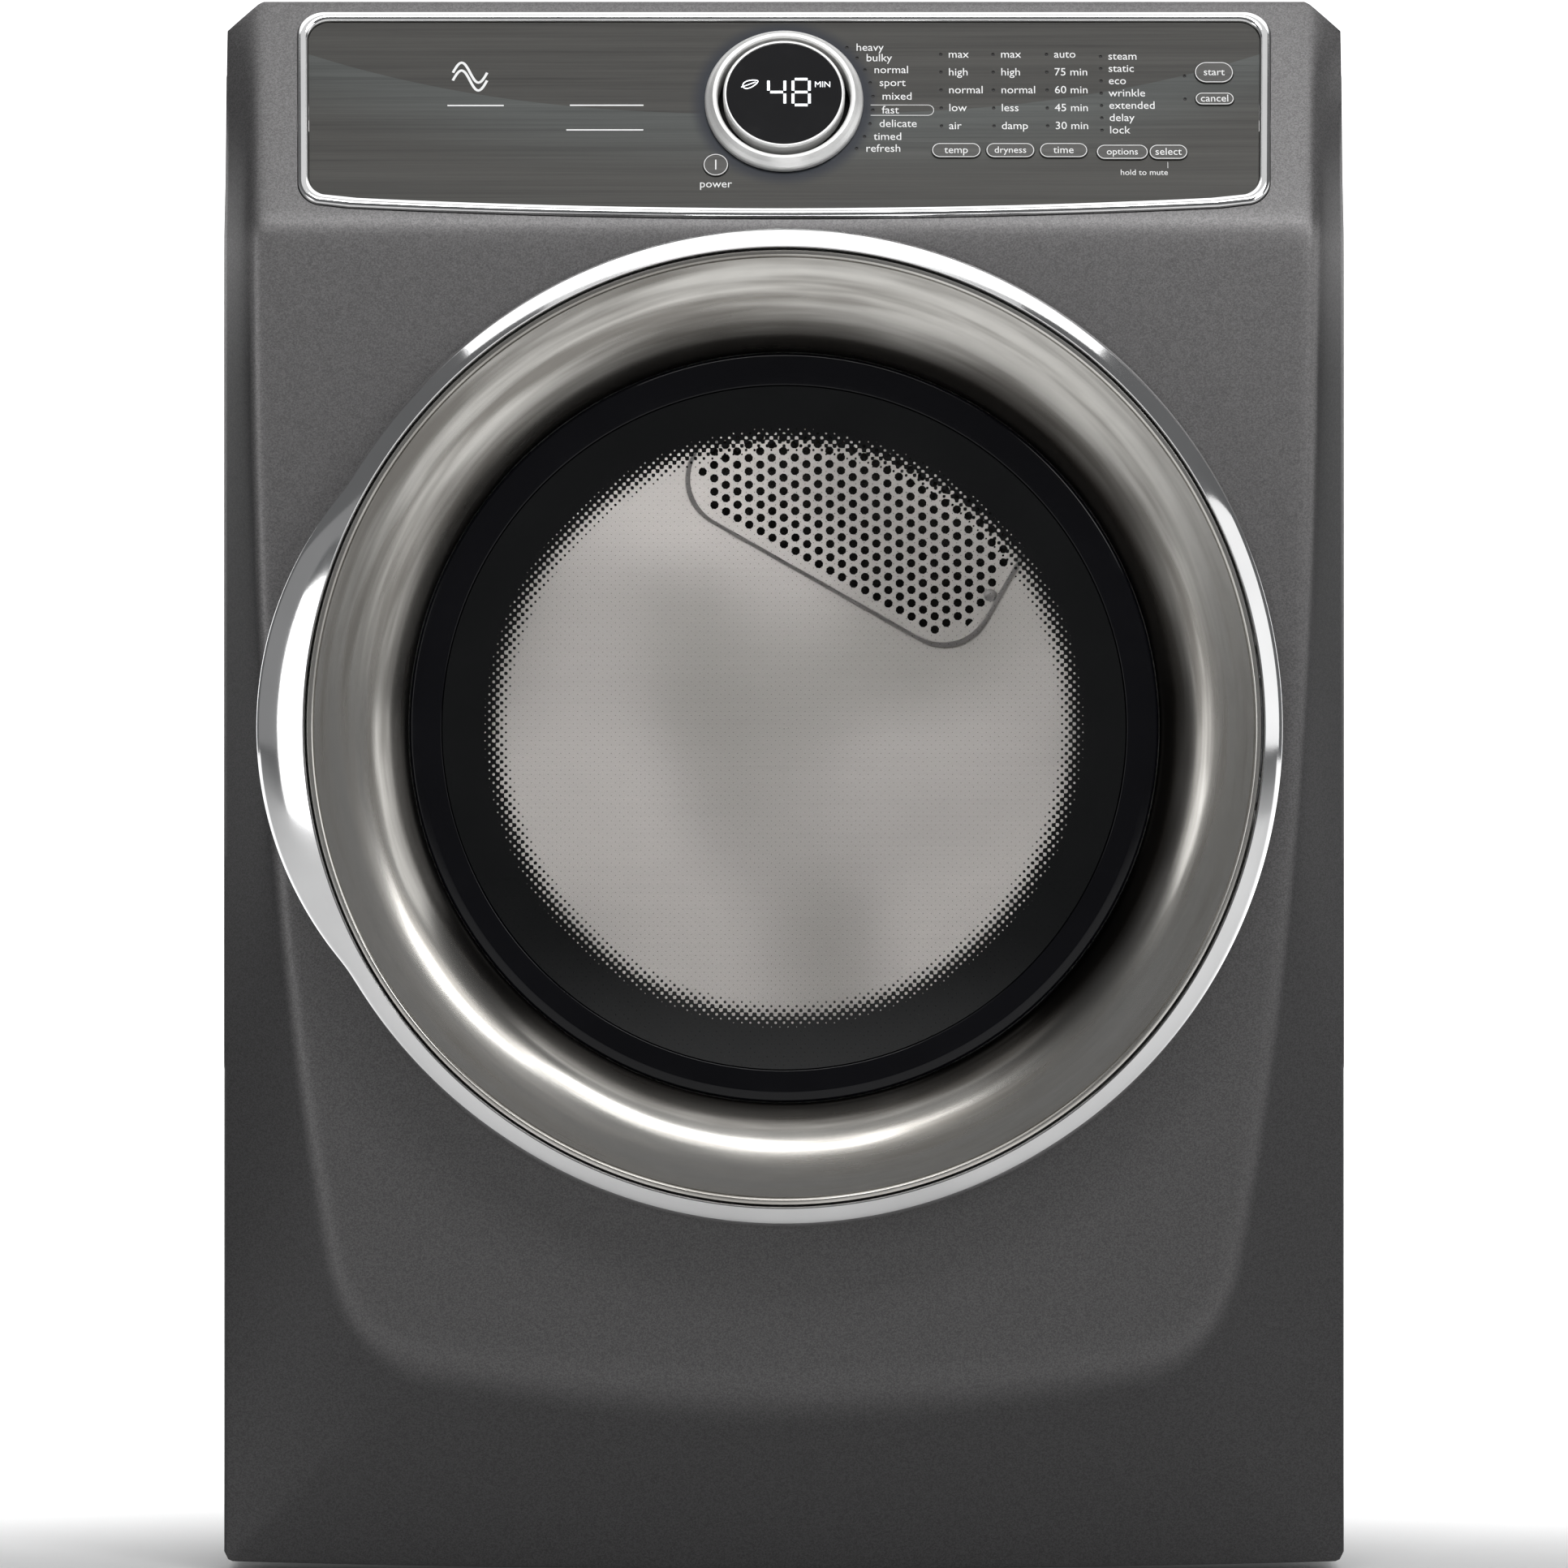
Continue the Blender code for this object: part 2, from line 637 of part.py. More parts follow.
def make_throat_ring():
    """The flanged ring on the front wall: the throat before it and the drum's collar behind it."""
    seat = BULKHEAD_FRONT + GAP
    inner, outer = THROAT_RADIUS - 0.003, THROAT_RADIUS
    ring = [(inner, THROAT_FRONT), (outer, THROAT_FRONT), (outer, seat + BULKHEAD_THICK)]
    ring += [(COLLAR_OUTER + 0.007, seat + BULKHEAD_THICK), (COLLAR_OUTER + 0.007, seat)]
    ring += [(COLLAR_OUTER, seat), (COLLAR_OUTER, COLLAR_REAR), (COLLAR_OUTER - 0.003, COLLAR_REAR)]
    ring += [(COLLAR_OUTER - 0.003, seat), (inner, seat)]
    throat = turned("throat_ring", ring, WHITE_PLASTIC, DOOR_VIEW_FIXED)
    slot_low, slot_high = (-0.110, 0.250, 0.2625), (0.110, THROAT_FRONT, 0.294)
    combine(throat, block("screen_slot", slot_low, slot_high, parent=FRONT_VIEW))


def make_lint_screen():
    """A ribbed frame that slides up out of the slot in the throat, with a finger notch in its top."""
    windows = [
        rectangle(x - 0.022, z - 0.030, x + 0.022, z + 0.030)
        for x in (-0.075, -0.025, 0.025, 0.075)
        for z in (0.130, 0.196, 0.262)
    ]
    outline = [(-0.105, 0.092), (0.105, 0.092), (0.105, 0.302), (0.036, 0.302), (0.030, 0.297)]
    outline += [(-0.030, 0.297), (-0.036, 0.302), (-0.105, 0.302)]
    plate("lint_screen", [outline] + windows, 0.277, 0.287, BLACK_PLASTIC, FRONT_VIEW)


def make_lint_duct():
    low = (-0.118, 0.050, 0.2615)
    high = (0.185, 0.288, 0.3030)
    duct = open_box("lint_duct", low, high, (0, 1, 0), DUCT_WALL, WHITE_PLASTIC, FRONT_VIEW)
    inlet = turned("duct_outlet", round_block(INLET_RADIUS, 0.250, 0.275), parent=FRONT_VIEW, steps=24)
    inlet.location = (MOTOR_X, MOTOR_Z, 0)
    combine(duct, inlet)


def make_blower():
    """A scroll housing whose outlet leads to the exhaust duct, with the wheel inside it."""
    at = (MOTOR_X, MOTOR_Z, 0)
    back, front = 0.196, 0.252
    wall = 0.0030

    def scroll(name, inset):
        radius = BLOWER_RADIUS - inset
        outline = arc(radius, -90, 162, 20, (MOTOR_X, MOTOR_Z))
        outline += [(-0.060 + inset, MOTOR_Z + 0.028 - inset), (-0.060 + inset, MOTOR_Z - radius)]
        body = plate(name, [outline], back + inset, front - inset, WHITE_PLASTIC, FRONT_VIEW)
        return as_mesh(body)

    housing = scroll("blower_housing", 0.0)
    combine(housing, scroll("scroll_space", wall))
    bore = INLET_RADIUS - 0.0055
    collar = ring_block(bore, bore + wall, front - 0.0010, 0.2608)
    combine(housing, turned("inlet_collar", collar, parent=FRONT_VIEW, at=at, steps=24), "UNION")
    openings = (
        ("inlet_hole", at, round_block(bore, 0.240, 0.270)),
        ("shaft_hole", at, round_block(0.0100, 0.180, 0.210)),
        ("outlet_hole", (0, EXHAUST_Z, 0), round_block(EXHAUST_RADIUS - 0.006, 0.180, 0.210)),
    )
    for name, middle, profile in openings:
        combine(housing, turned(name, profile, parent=FRONT_VIEW, at=middle, steps=24))


def make_blower_wheel():
    """Twelve blades round a hub, on a back disc."""
    blades, hub, tip = 12, 0.016, 0.071
    outline = []
    for i in range(blades):
        start = 360 * i / blades
        outline += arc(hub, start, start + 18, 2) + arc(tip, start + 24, start + 29, 1)
    wheel = as_mesh(plate("blower_wheel", [outline], -0.020, 0.020, WHITE_PLASTIC, ROTOR))
    disc = round_block(0.073, -0.0215, -0.0185)
    combine(wheel, turned("wheel_disc", disc, parent=ROTOR, steps=36), "UNION")
    bore = round_block(SHAFT_RADIUS + GAP, -0.030, 0.030)
    combine(wheel, turned("wheel_bore", bore, parent=ROTOR, steps=20))


# ---------------------------------------------------------------- motor, belt and rollers


def make_motor():
    at = (MOTOR_X, MOTOR_Z, 0)
    body = [(0.0070, 0.172), (0.040, 0.172), (0.046, 0.160), (0.062, 0.160), (0.062, 0.060)]
    body += [(0.046, 0.060), (0.040, 0.048), (0.0070, 0.048)]
    turned("motor_body", body, ZINC, FRONT_VIEW, at, 24)
    saddle = arc(0.0626, 215, 325, 10, (MOTOR_X, MOTOR_Z))
    left, right = saddle[0][0], saddle[-1][0]
    floor = BASE_FLOOR + 0.0015 + GAP
    outline = saddle + [(right + 0.016, saddle[0][1]), (right + 0.016, floor), (left - 0.016, floor)]
    outline += [(left - 0.016, saddle[0][1])]
    plate("motor_cradle", [outline], 0.080, 0.140, ZINC, FRONT_VIEW)
    shaft = [(0, 0.020), (SHAFT_RADIUS, 0.020)]
    pulley = MOTOR_PULLEY
    belt = BELT_FORWARD - BLOWER_MIDDLE
    shaft += [(SHAFT_RADIUS, belt + 0.010), (pulley + 0.003, belt + 0.010), (pulley, belt + 0.0065)]
    shaft += [(pulley, belt - 0.0065), (pulley + 0.003, belt - 0.010), (SHAFT_RADIUS, belt - 0.010)]
    shaft += [(SHAFT_RADIUS, belt - 0.020), (0, belt - 0.020)]
    turned("motor_rotor", shaft, STEEL, ROTOR, steps=24)


def tangent_angle():
    """The angle that the straight runs of the belt make with the line between its two centres."""
    distance = math.hypot(MOTOR_X, DOOR_Z - MOTOR_Z)
    return math.degrees(math.asin((DRUM_RADIUS - MOTOR_PULLEY) / distance))


def belt_loop(offset):
    """The loop round the drum and the motor pulley, at one distance off their faces."""
    towards_motor = math.degrees(math.atan2(MOTOR_Z - DOOR_Z, MOTOR_X))
    spread = 90 - tangent_angle()
    clear = 1 / math.cos(math.radians((360 - 2 * spread) / BELT_ARC_STEPS / 2))
    drum = (DRUM_RADIUS + offset) * clear
    pulley = (MOTOR_PULLEY + offset) / math.cos(math.radians(spread / 8))
    start = towards_motor + spread
    points = arc(drum, start, start + 360 - 2 * spread, BELT_ARC_STEPS, (0, DOOR_Z))
    points += arc(pulley, towards_motor - spread, towards_motor + spread, 8, (MOTOR_X, MOTOR_Z))
    return points


def make_belt():
    inner, outer = belt_loop(0.0008), belt_loop(0.0008 + BELT_THICK)
    half = BELT_WIDTH / 2
    plate("drive_belt", [outer, inner], BELT_FORWARD - half, BELT_FORWARD + half, RUBBER, FRONT_VIEW)


def idler_centre():
    """The point from which the idler presses on the outside of the belt's slack run."""
    towards_motor = math.degrees(math.atan2(MOTOR_Z - DOOR_Z, MOTOR_X))
    normal = math.radians(towards_motor - 90 + tangent_angle())
    along = math.radians(towards_motor + tangent_angle() + 180)
    off = MOTOR_PULLEY + 0.0008 + BELT_THICK + GAP + 0.0008 + IDLER_RADIUS
    run = 0.265
    x = MOTOR_X + off * math.cos(normal) + run * math.cos(along)
    z = MOTOR_Z + off * math.sin(normal) + run * math.sin(along)
    return x, z


def make_idler():
    """A plain pulley on a stub, carried by an arm that stands on the base pan."""
    x, z = idler_centre()
    rim = IDLER_RADIUS
    pulley = ring_block(0.0046, rim, -0.007, 0.007)
    axis = empty("idler_axis", (x, z, BELT_FORWARD), parent=FRONT_VIEW)
    turned("idler_pulley", pulley, WHITE_PLASTIC, axis, steps=24)
    foot_x = x - 0.030
    floor = BASE_FLOOR + 0.0015 + GAP
    outline = [(foot_x - 0.030, floor), (foot_x + 0.030, floor), (foot_x + 0.030, floor + 0.004)]
    outline += [(foot_x + 0.012, floor + 0.010)] + arc(0.011, -20, 190, 8, (x, z))
    outline += [(foot_x - 0.012, floor + 0.010), (foot_x - 0.030, floor + 0.004)]
    back, front = BELT_FORWARD - 0.0125, BELT_FORWARD - 0.0085
    arm = as_mesh(plate("idler_arm", [outline], back, front, ZINC, FRONT_VIEW))
    stub = round_block(0.0042, BELT_FORWARD - 0.0120, BELT_FORWARD + 0.009)
    combine(arm, turned("idler_stub", stub, parent=FRONT_VIEW, at=(x, z, 0), steps=16), "UNION")


def make_rollers():
    reach = DRUM_RADIUS + ROLLER_RADIUS + 0.0005
    middle = -0.300
    for side, name in ((-1, "left"), (1, "right")):
        x = side * reach * math.sin(ROLLER_ANGLE)
        z = DOOR_Z - reach * math.cos(ROLLER_ANGLE)
        axis = empty(f"roller_axis_{name}", (x, z, middle), parent=FRONT_VIEW)
        r = ROLLER_RADIUS
        wheel = [(SHAFT_RADIUS + GAP, 0.0110), (r - 0.002, 0.0110), (r, 0.009), (r, -0.009)]
        wheel += [(r - 0.002, -0.0110), (SHAFT_RADIUS + GAP, -0.0110)]
        turned(f"drum_roller_{name}", wheel, RUBBER, axis, steps=24)
        shaft = [(0, 0.0165), (0.0095, 0.0165), (0.0095, 0.0120), (SHAFT_RADIUS, 0.0120)]
        shaft += [(SHAFT_RADIUS, REAR_WALL - middle + GAP), (0, REAR_WALL - middle + GAP)]
        turned(f"roller_shaft_{name}", shaft, STEEL, axis, steps=20)


# ---------------------------------------------------------------- drum and rear wall


def make_drum():
    inner, outer = DRUM_RADIUS - DRUM_WALL, DRUM_RADIUS
    turned("drum", ring_block(inner, outer, DRUM_REAR, DRUM_FRONT), STAINLESS, DRUM)
    top = DRUM_RADIUS - BAFFLE_HEIGHT
    foot = DRUM_RADIUS - 0.0050
    for number, angle in enumerate((-90, 30, 150), start=1):
        outline = lifter_outline(foot, top)
        turn = math.radians(angle)
        plate(f"drum_lifter_{number}", [outline], -0.292, 0.222, WHITE_PLASTIC, DRUM, turn=turn)


def lifter_outline(foot, top):
    """A lifter seen end on: a wide foot on the drum wall, narrowing to a round crest."""
    points = [(foot, -0.034), (foot + 0.0015, 0.0), (foot, 0.034), (top + 0.026, 0.017)]
    points += arc(0.009, 100, 260, 4, (top + 0.009, 0))
    return points + [(top + 0.026, -0.017)]


def grille_outline(grow):
    """A chord segment of the rear wall's circle, with rounded lower corners."""
    low = GRILLE_LOW - grow
    left, right = GRILLE_LEFT - grow, GRILLE_RIGHT + grow
    radius = GRILLE_RADIUS + grow
    corner = 0.034
    points = arc(corner, 180, 270, 3, (left + corner, low + corner))
    points += arc(corner, 270, 360, 3, (right - corner, low + corner))
    start = math.degrees(math.acos(right / radius))
    end = math.degrees(math.acos(left / radius))
    return points + arc(radius, start, end, 8)


def make_rear_bulkhead():
    outline = rounded(-0.330, 0.150, 0.330, 0.862, 0.010, 2)
    back = REAR_WALL - BULKHEAD_THICK
    wall = as_mesh(plate("rear_bulkhead", [outline], back, REAR_WALL, STAINLESS, FRONT_VIEW))
    collar = ring_block(0.3030, 0.3060, REAR_WALL - 0.001, REAR_WALL + 0.022)
    combine(wall, turned("rear_collar", collar, parent=DOOR_VIEW_FIXED), "UNION")
    outline = grille_outline(-0.006)
    opening = plate("air_opening", [outline], -0.340, -0.315, None, DOOR_VIEW_FIXED, turn=GRILLE_TILT)
    combine(wall, as_mesh(opening))


def make_air_grille():
    """A perforated plate over the air opening, its holes staggered from row to row."""
    pitch, radius = GRILLE_PITCH, GRILLE_HOLE
    holes = []
    row = 0
    y = GRILLE_LOW + 0.016
    while y < GRILLE_RADIUS - 0.010:
        shift = pitch / 2 * (row % 2)
        reach = GRILLE_RADIUS - 0.012
        x = GRILLE_LEFT + 0.016 + shift
        while x < GRILLE_RIGHT - 0.012:
            beside = min(x - GRILLE_LEFT, GRILLE_RIGHT - x)
            if math.hypot(x, y) < reach and (beside > 0.030 or y > GRILLE_LOW + 0.030):
                holes.append(circle(radius, 6, (x, y)))
            x += pitch
        y += pitch * math.sqrt(3) / 2
        row += 1
    front = REAR_WALL + GAP
    plate(
        "air_grille", [grille_outline(0.0)] + holes, front, front + 0.0015, STAINLESS, DOOR_VIEW_FIXED,
        turn=GRILLE_TILT,
    )


def make_heater():
    """The sheet box behind the air opening, with an inlet slot in one end."""
    tilt = empty("heater_tilt", (0, 0, 0), (0, 0, GRILLE_TILT), DOOR_VIEW_FIXED)
    back, front = -0.3780, REAR_WALL - 0.0024
    low = (GRILLE_LEFT - 0.014, GRILLE_LOW - 0.014, back)
    high = (GRILLE_RIGHT + 0.014, GRILLE_RADIUS + 0.014, front)
    box = open_box("heater_housing", low, high, (0, 0, 1), 0.0012, ZINC, tilt)
    slot_low, slot_high = (low[0] - 0.01, 0.150, -0.370), (low[0] + 0.01, 0.230, -0.345)
    combine(box, block("air_inlet", slot_low, slot_high, parent=tilt))


def make_exhaust():
    outer = EXHAUST_RADIUS
    pipe = ring_block(outer - 0.0013, outer, BACK, 0.1955)
    turned("exhaust_duct", pipe, ZINC, FRONT_VIEW, (0, EXHAUST_Z, 0), 28)


# ---------------------------------------------------------------- assembly

clear_scene()
PARTS = collection("clothes_dryer")
CUTTERS = collection("cutters")

PAINT = look("titanium_paint", (0.115, 0.115, 0.120), 0.38, 0.6)
PAINT_SIDE = look("titanium_paint_side", (0.045, 0.045, 0.048), 0.45, 0.5)
CHROME = look("chrome", (0.80, 0.80, 0.80), 0.08, 1.0)
DISH = look("smoked_chrome", (0.42, 0.41, 0.38), 0.28, 1.0)
SILVER = look("satin_silver", (0.62, 0.62, 0.62), 0.25, 1.0)
FASCIA = look("brushed_fascia", (0.055, 0.053, 0.050), 0.35, 0.6)
BLACK_GLOSS = look("black_gloss", (0.006, 0.006, 0.008), 0.08)
BLACK_PLASTIC = look("black_plastic", (0.020, 0.020, 0.022), 0.5)
WHITE_PLASTIC = look("pale_plastic", (0.62, 0.62, 0.60), 0.45)
GLASS = look("window_glass", (0.30, 0.31, 0.31), 0.05)
STAINLESS = look("stainless", (0.56, 0.56, 0.56), 0.30, 1.0)
STEEL = look("plated_steel", (0.45, 0.45, 0.46), 0.32, 1.0)
ZINC = look("zinc_sheet", (0.50, 0.51, 0.52), 0.45, 0.9)
RUBBER = look("rubber", (0.018, 0.018, 0.019), 0.75)

QUARTER = math.pi / 2
FRONT_VIEW = empty("front_view", (0, 0, 0), (QUARTER, 0, 0))
DOOR_VIEW_FIXED = empty("door_centre_line", (0, DOOR_Z, 0), parent=FRONT_VIEW)
CONSOLE_FORWARD = PANEL_FRONT - math.tan(SLOPE) * (DIAL_Z - CREASE_Z)
CONSOLE = empty("console_plane", (0, -CONSOLE_FORWARD, DIAL_Z), (QUARTER - SLOPE, 0, 0))
HINGE = empty("door_hinge_axis", (HINGE_X, -HINGE_FORWARD, DOOR_Z))
DOOR_VIEW = empty("door_view", (-HINGE_X, HINGE_FORWARD, 0), (QUARTER, 0, 0), HINGE)
DRUM = empty("drum_axis", (0, DOOR_Z, 0), parent=FRONT_VIEW)
ROTOR = empty("rotor_axis", (MOTOR_X, MOTOR_Z, BLOWER_MIDDLE), parent=FRONT_VIEW)
bpy.context.view_layer.update()

make_base_pan()
make_feet()
make_side_panels()
make_top_panel()
make_rear_panel()
make_terminal_cover()
make_front_panel()
make_console()
make_dial()
make_display()
make_console_housing()
make_door()
make_hinge()
make_latch()
make_front_bulkhead()
make_throat_ring()
make_lint_screen()
make_lint_duct()
make_blower()
make_blower_wheel()
make_motor()
make_belt()
make_idler()
make_rollers()
make_drum()
make_rear_bulkhead()
make_air_grille()
make_heater()
make_exhaust()
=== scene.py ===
"""The looks of a front-loading clothes dryer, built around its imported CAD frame.

Metres, +Z up, the front towards -Y. Pieces are built where they stand, so a material's object
coordinates are the frame's. Shapes are drawn in a view, a matrix whose x and y lie in the drawing's
plane and whose z points out of it: FRONT_VIEW, DOOR_VIEW, GRILLE_VIEW and CONSOLE.
"""

import json
import math

import bmesh
import bpy
from mathutils import Matrix, Vector

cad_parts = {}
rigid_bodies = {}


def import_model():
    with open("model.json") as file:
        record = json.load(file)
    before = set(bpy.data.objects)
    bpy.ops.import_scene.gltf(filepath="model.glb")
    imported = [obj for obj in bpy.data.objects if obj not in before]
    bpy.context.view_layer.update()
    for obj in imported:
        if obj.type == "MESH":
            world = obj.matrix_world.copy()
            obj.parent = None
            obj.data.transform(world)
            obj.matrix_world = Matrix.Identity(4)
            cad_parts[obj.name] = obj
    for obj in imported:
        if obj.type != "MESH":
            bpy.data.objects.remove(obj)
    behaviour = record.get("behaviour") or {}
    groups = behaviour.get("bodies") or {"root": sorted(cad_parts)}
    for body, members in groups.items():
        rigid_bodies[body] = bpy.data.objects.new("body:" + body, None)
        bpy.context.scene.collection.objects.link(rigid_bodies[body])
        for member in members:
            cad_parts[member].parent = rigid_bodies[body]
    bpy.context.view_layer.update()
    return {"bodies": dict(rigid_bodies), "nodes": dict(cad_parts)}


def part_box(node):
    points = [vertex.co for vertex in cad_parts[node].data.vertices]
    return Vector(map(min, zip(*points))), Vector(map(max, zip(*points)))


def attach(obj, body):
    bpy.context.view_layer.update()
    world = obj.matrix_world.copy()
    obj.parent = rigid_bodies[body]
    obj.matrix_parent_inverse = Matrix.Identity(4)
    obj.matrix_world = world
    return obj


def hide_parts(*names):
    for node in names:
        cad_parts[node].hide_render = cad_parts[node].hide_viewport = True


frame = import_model()
NODES = frame["nodes"]

# ---- driving dimensions, in metres

LOW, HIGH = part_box("front_panel")
HALF_WIDTH = HIGH.x
HEIGHT = HIGH.z
PANEL_BOTTOM = LOW.z
PANEL_FRONT = -LOW.y
PANEL_BACK = -HIGH.y
PANEL_THICK = 0.0025
CORNER_CUT = 0.021
CORNER_DROP = 0.018
SLOPE = math.radians(24)
CREASE_Z = 0.822
CREASE_SOFT = 0.007
PLATEAU_TOP_HALF = 0.325
PLATEAU_TAPER = 0.060
PLATEAU_LENGTH = 0.790
PLATEAU_BOTTOM = 0.124
PLATEAU_SAG = 0.008
PLATEAU_SAG_HALF = 0.156
PLATEAU_CORNER = 0.040
PLATEAU_SOFT = 0.0035
EDGE_RECESS = 0.018
SIDE_RECESS = 0.020

DIAL_Z = 0.900
TRIM_HALF = 0.299
TRIM_TOP = 0.063
TRIM_BOTTOM = 0.080
TRIM_SAG = 0.009
TRIM_BAND = 0.0065
TRIM_OUT = 0.0028
KEY_OUT = 0.0012
KEY_IN = 0.006
DIAL_OUTER = 0.0485
DIAL_INNER = 0.0406
DISPLAY_RADIUS = 0.0372
DISPLAY_OUT = 0.012
# the painted reflection low on the console: power and rise of its curved upper edge, that edge's lowest
# point, and how far it fades
PAINTED_REFLECTION_POWER = 2.5
PAINTED_REFLECTION_RISE = 0.912
PAINTED_REFLECTION_LOW = -0.0078
PAINTED_REFLECTION_FADE = 0.052

THROAT_HOLE = 0.232
DOOR_Z = 0.517
DOOR_RADIUS = 0.300
DOOR_CREST = 0.400
DOOR_BACK = 0.3505
CREST_RADIUS = 0.289
RING_DROP = 0.0110
RING_STEPS = 12
DISH_OUTER = 0.2868
DISH_LEAN = 0.36
STEP_RADIUS = 0.2826
WINDOW_RADIUS = 0.2265
GLASS_RADIUS = 0.2065
FRIT_INNER = 0.182
DOTS_INNER = 0.166
DOT_PITCH = 0.0036
BULGE_RADIUS = 0.2195
BULGE_OFFSET = -0.098
HINGE_X = 0.286
HINGE_FORWARD = 0.366
HINGE_REACH = 0.050

DRUM_RADIUS = 0.314
DRUM_WALL = 0.0015
DRUM_FRONT = 0.250
DRUM_REAR = -0.322
REAR_WALL = -0.328
BEADS = (-0.20, -0.085, 0.115, 0.195)
BEAD_RISE = 0.0010
BEAD_WIDTH = 0.006
BAFFLE_HEIGHT = 0.062
GRILLE_TILT = math.radians(-29.5)
GRILLE_LOW = 0.104
GRILLE_LEFT = -0.152
GRILLE_RIGHT = 0.084
GRILLE_RADIUS = 0.255
GRILLE_PITCH = 0.0093
GRILLE_HOLE = 0.0031

CONSOLE_FORWARD = PANEL_FRONT - math.tan(SLOPE) * (DIAL_Z - CREASE_Z)
CONSOLE = Matrix.Translation((0, -CONSOLE_FORWARD, DIAL_Z)) @ Matrix.Rotation(
    math.pi / 2 - SLOPE, 4, "X"
)
FRONT_VIEW = Matrix.Rotation(math.pi / 2, 4, "X")
DOOR_VIEW = Matrix.Translation((0, 0, DOOR_Z)) @ FRONT_VIEW
GRILLE_VIEW = DOOR_VIEW @ Matrix.Rotation(GRILLE_TILT, 4, "Z")

# ---- mesh helpers


def smooth(value):
    """Eases from 0 to 1."""
    value = min(1.0, max(0.0, value))
    return value * value * (3 - 2 * value)


def blend(a, b, share):
    return a + (b - a) * share


def soft_ramp(value, width):
    """The value where it is positive and 0 where it is negative, with a rounded corner between."""
    return (value + math.sqrt(value * value + width * width)) / 2


def arc(radius, start, end, steps, centre=(0, 0)):
    points = []
    for i in range(steps + 1):
        angle = math.radians(blend(start, end, i / steps))
        points.append((centre[0] + radius * math.cos(angle), centre[1] + radius * math.sin(angle)))
    return points


def circle(radius, steps, centre=(0, 0)):
    return arc(radius, 0, 360, steps, centre)[:-1]


def rounded(x0, y0, x1, y1, radius, steps):
    points = arc(radius, 180, 270, steps, (x0 + radius, y0 + radius))
    points += arc(radius, 270, 360, steps, (x1 - radius, y0 + radius))
    points += arc(radius, 0, 90, steps, (x1 - radius, y1 - radius))
    return points + arc(radius, 90, 180, steps, (x0 + radius, y1 - radius))


def pill(x, y, width, height):
    radius = min(width, height) / 2 - 0.00001
    x0, y0 = x - width / 2, y - height / 2
    return rounded(x0, y0, x0 + width, y0 + height, radius, steps=16)


def soften(points, radius, steps):
    """Rounds each corner of a closed outline or profile."""
    result = []
    for i, corner in enumerate(points):
        here = Vector(corner)
        before = Vector(points[i - 1]) - here
        after = Vector(points[(i + 1) % len(points)]) - here
        start = before.normalized() * min(radius, before.length * 0.45)
        end = after.normalized() * min(radius, after.length * 0.45)
        for j in range(steps + 1):
            t = j / steps
            point = here + start * (1 - t) ** 2 + end * t**2
            result.append((max(0.0, point.x) if corner[0] >= 0 else point.x, point.y))
    return result


def placed(data):
    """A new object in the scene, with its data's name."""
    obj = bpy.data.objects.new(data.name, data)
    bpy.context.scene.collection.objects.link(obj)
    return obj


def piece(data, material, body, replaced=(), angle=35):
    """A finished piece, named as its mesh: riding on its body and standing for its CAD nodes."""
    data.materials.append(material)
    data.shade_smooth()
    data.set_sharp_from_angle(angle=math.radians(angle))
    obj = placed(data)
    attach(obj, body)
    if replaced:
        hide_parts(*replaced)
    return obj


def mesh_from(bm, name, matrix):
    mesh = bpy.data.meshes.new(name)
    bmesh.ops.recalc_face_normals(bm, faces=bm.faces)
    bm.to_mesh(mesh)
    bm.free()
    mesh.transform(matrix)
    return mesh


def loft(name, sections, matrix):
    """A skin over sections that go round the forward axis; a section is a loop of points."""
    bm = bmesh.new()
    rings = [[bm.verts.new(point) for point in section] for section in sections]
    count = len(rings)
    for i in range(count):
        ring, following = rings[i], rings[(i + 1) % count]
        for j in range(len(ring)):
            k = (j + 1) % len(ring)
            bm.faces.new((ring[j], ring[k], following[k], following[j]))
    bmesh.ops.remove_doubles(bm, verts=bm.verts, dist=1e-6)
    bmesh.ops.dissolve_degenerate(bm, dist=1e-7, edges=bm.edges)
    return mesh_from(bm, name, matrix)


def lathe(name, profile, matrix=DOOR_VIEW, steps=192):
    """A solid of revolution about the view's axis, from a closed (radius, forward) profile."""
    sections = []
    for i in range(steps):
        angle = 2 * math.pi * i / steps
        sections.append([(r * math.cos(angle), r * math.sin(angle), f) for r, f in profile])
    return loft(name, sections, matrix)


def flat_plate(name, outlines, back, front, matrix):
    """A flat piece: outlines in the view's x and y, the inner ones holes."""
    curve = bpy.data.curves.new(name, "CURVE")
    curve.dimensions = "2D"
    curve.fill_mode = "BOTH"
    curve.extrude = (front - back) / 2
    for outline in outlines:
        spline = curve.splines.new("POLY")
        spline.points.add(len(outline) - 1)
        for point, (x, y) in zip(spline.points, outline):
            point.co = (x, y, 0, 1)
        spline.use_cyclic_u = True
    holder = bpy.data.objects.new(name, curve)
    mesh = bpy.data.meshes.new_from_object(holder)
    bpy.data.objects.remove(holder)
    bpy.data.curves.remove(curve)
    bm = bmesh.new()
    bm.from_mesh(mesh)
    bpy.data.meshes.remove(mesh)
    bmesh.ops.remove_doubles(bm, verts=bm.verts, dist=1e-6)
    bmesh.ops.translate(bm, verts=bm.verts, vec=(0, 0, (front + back) / 2))
    return mesh_from(bm, name, matrix)


def soft_edges(obj, width, segments, angle=40):
    bevel = obj.modifiers.new("soft_edges", "BEVEL")
    bevel.width = width
    bevel.segments = segments
    bevel.limit_method = "ANGLE"
    bevel.angle_limit = math.radians(angle)
    bevel.harden_normals = True
    return bevel


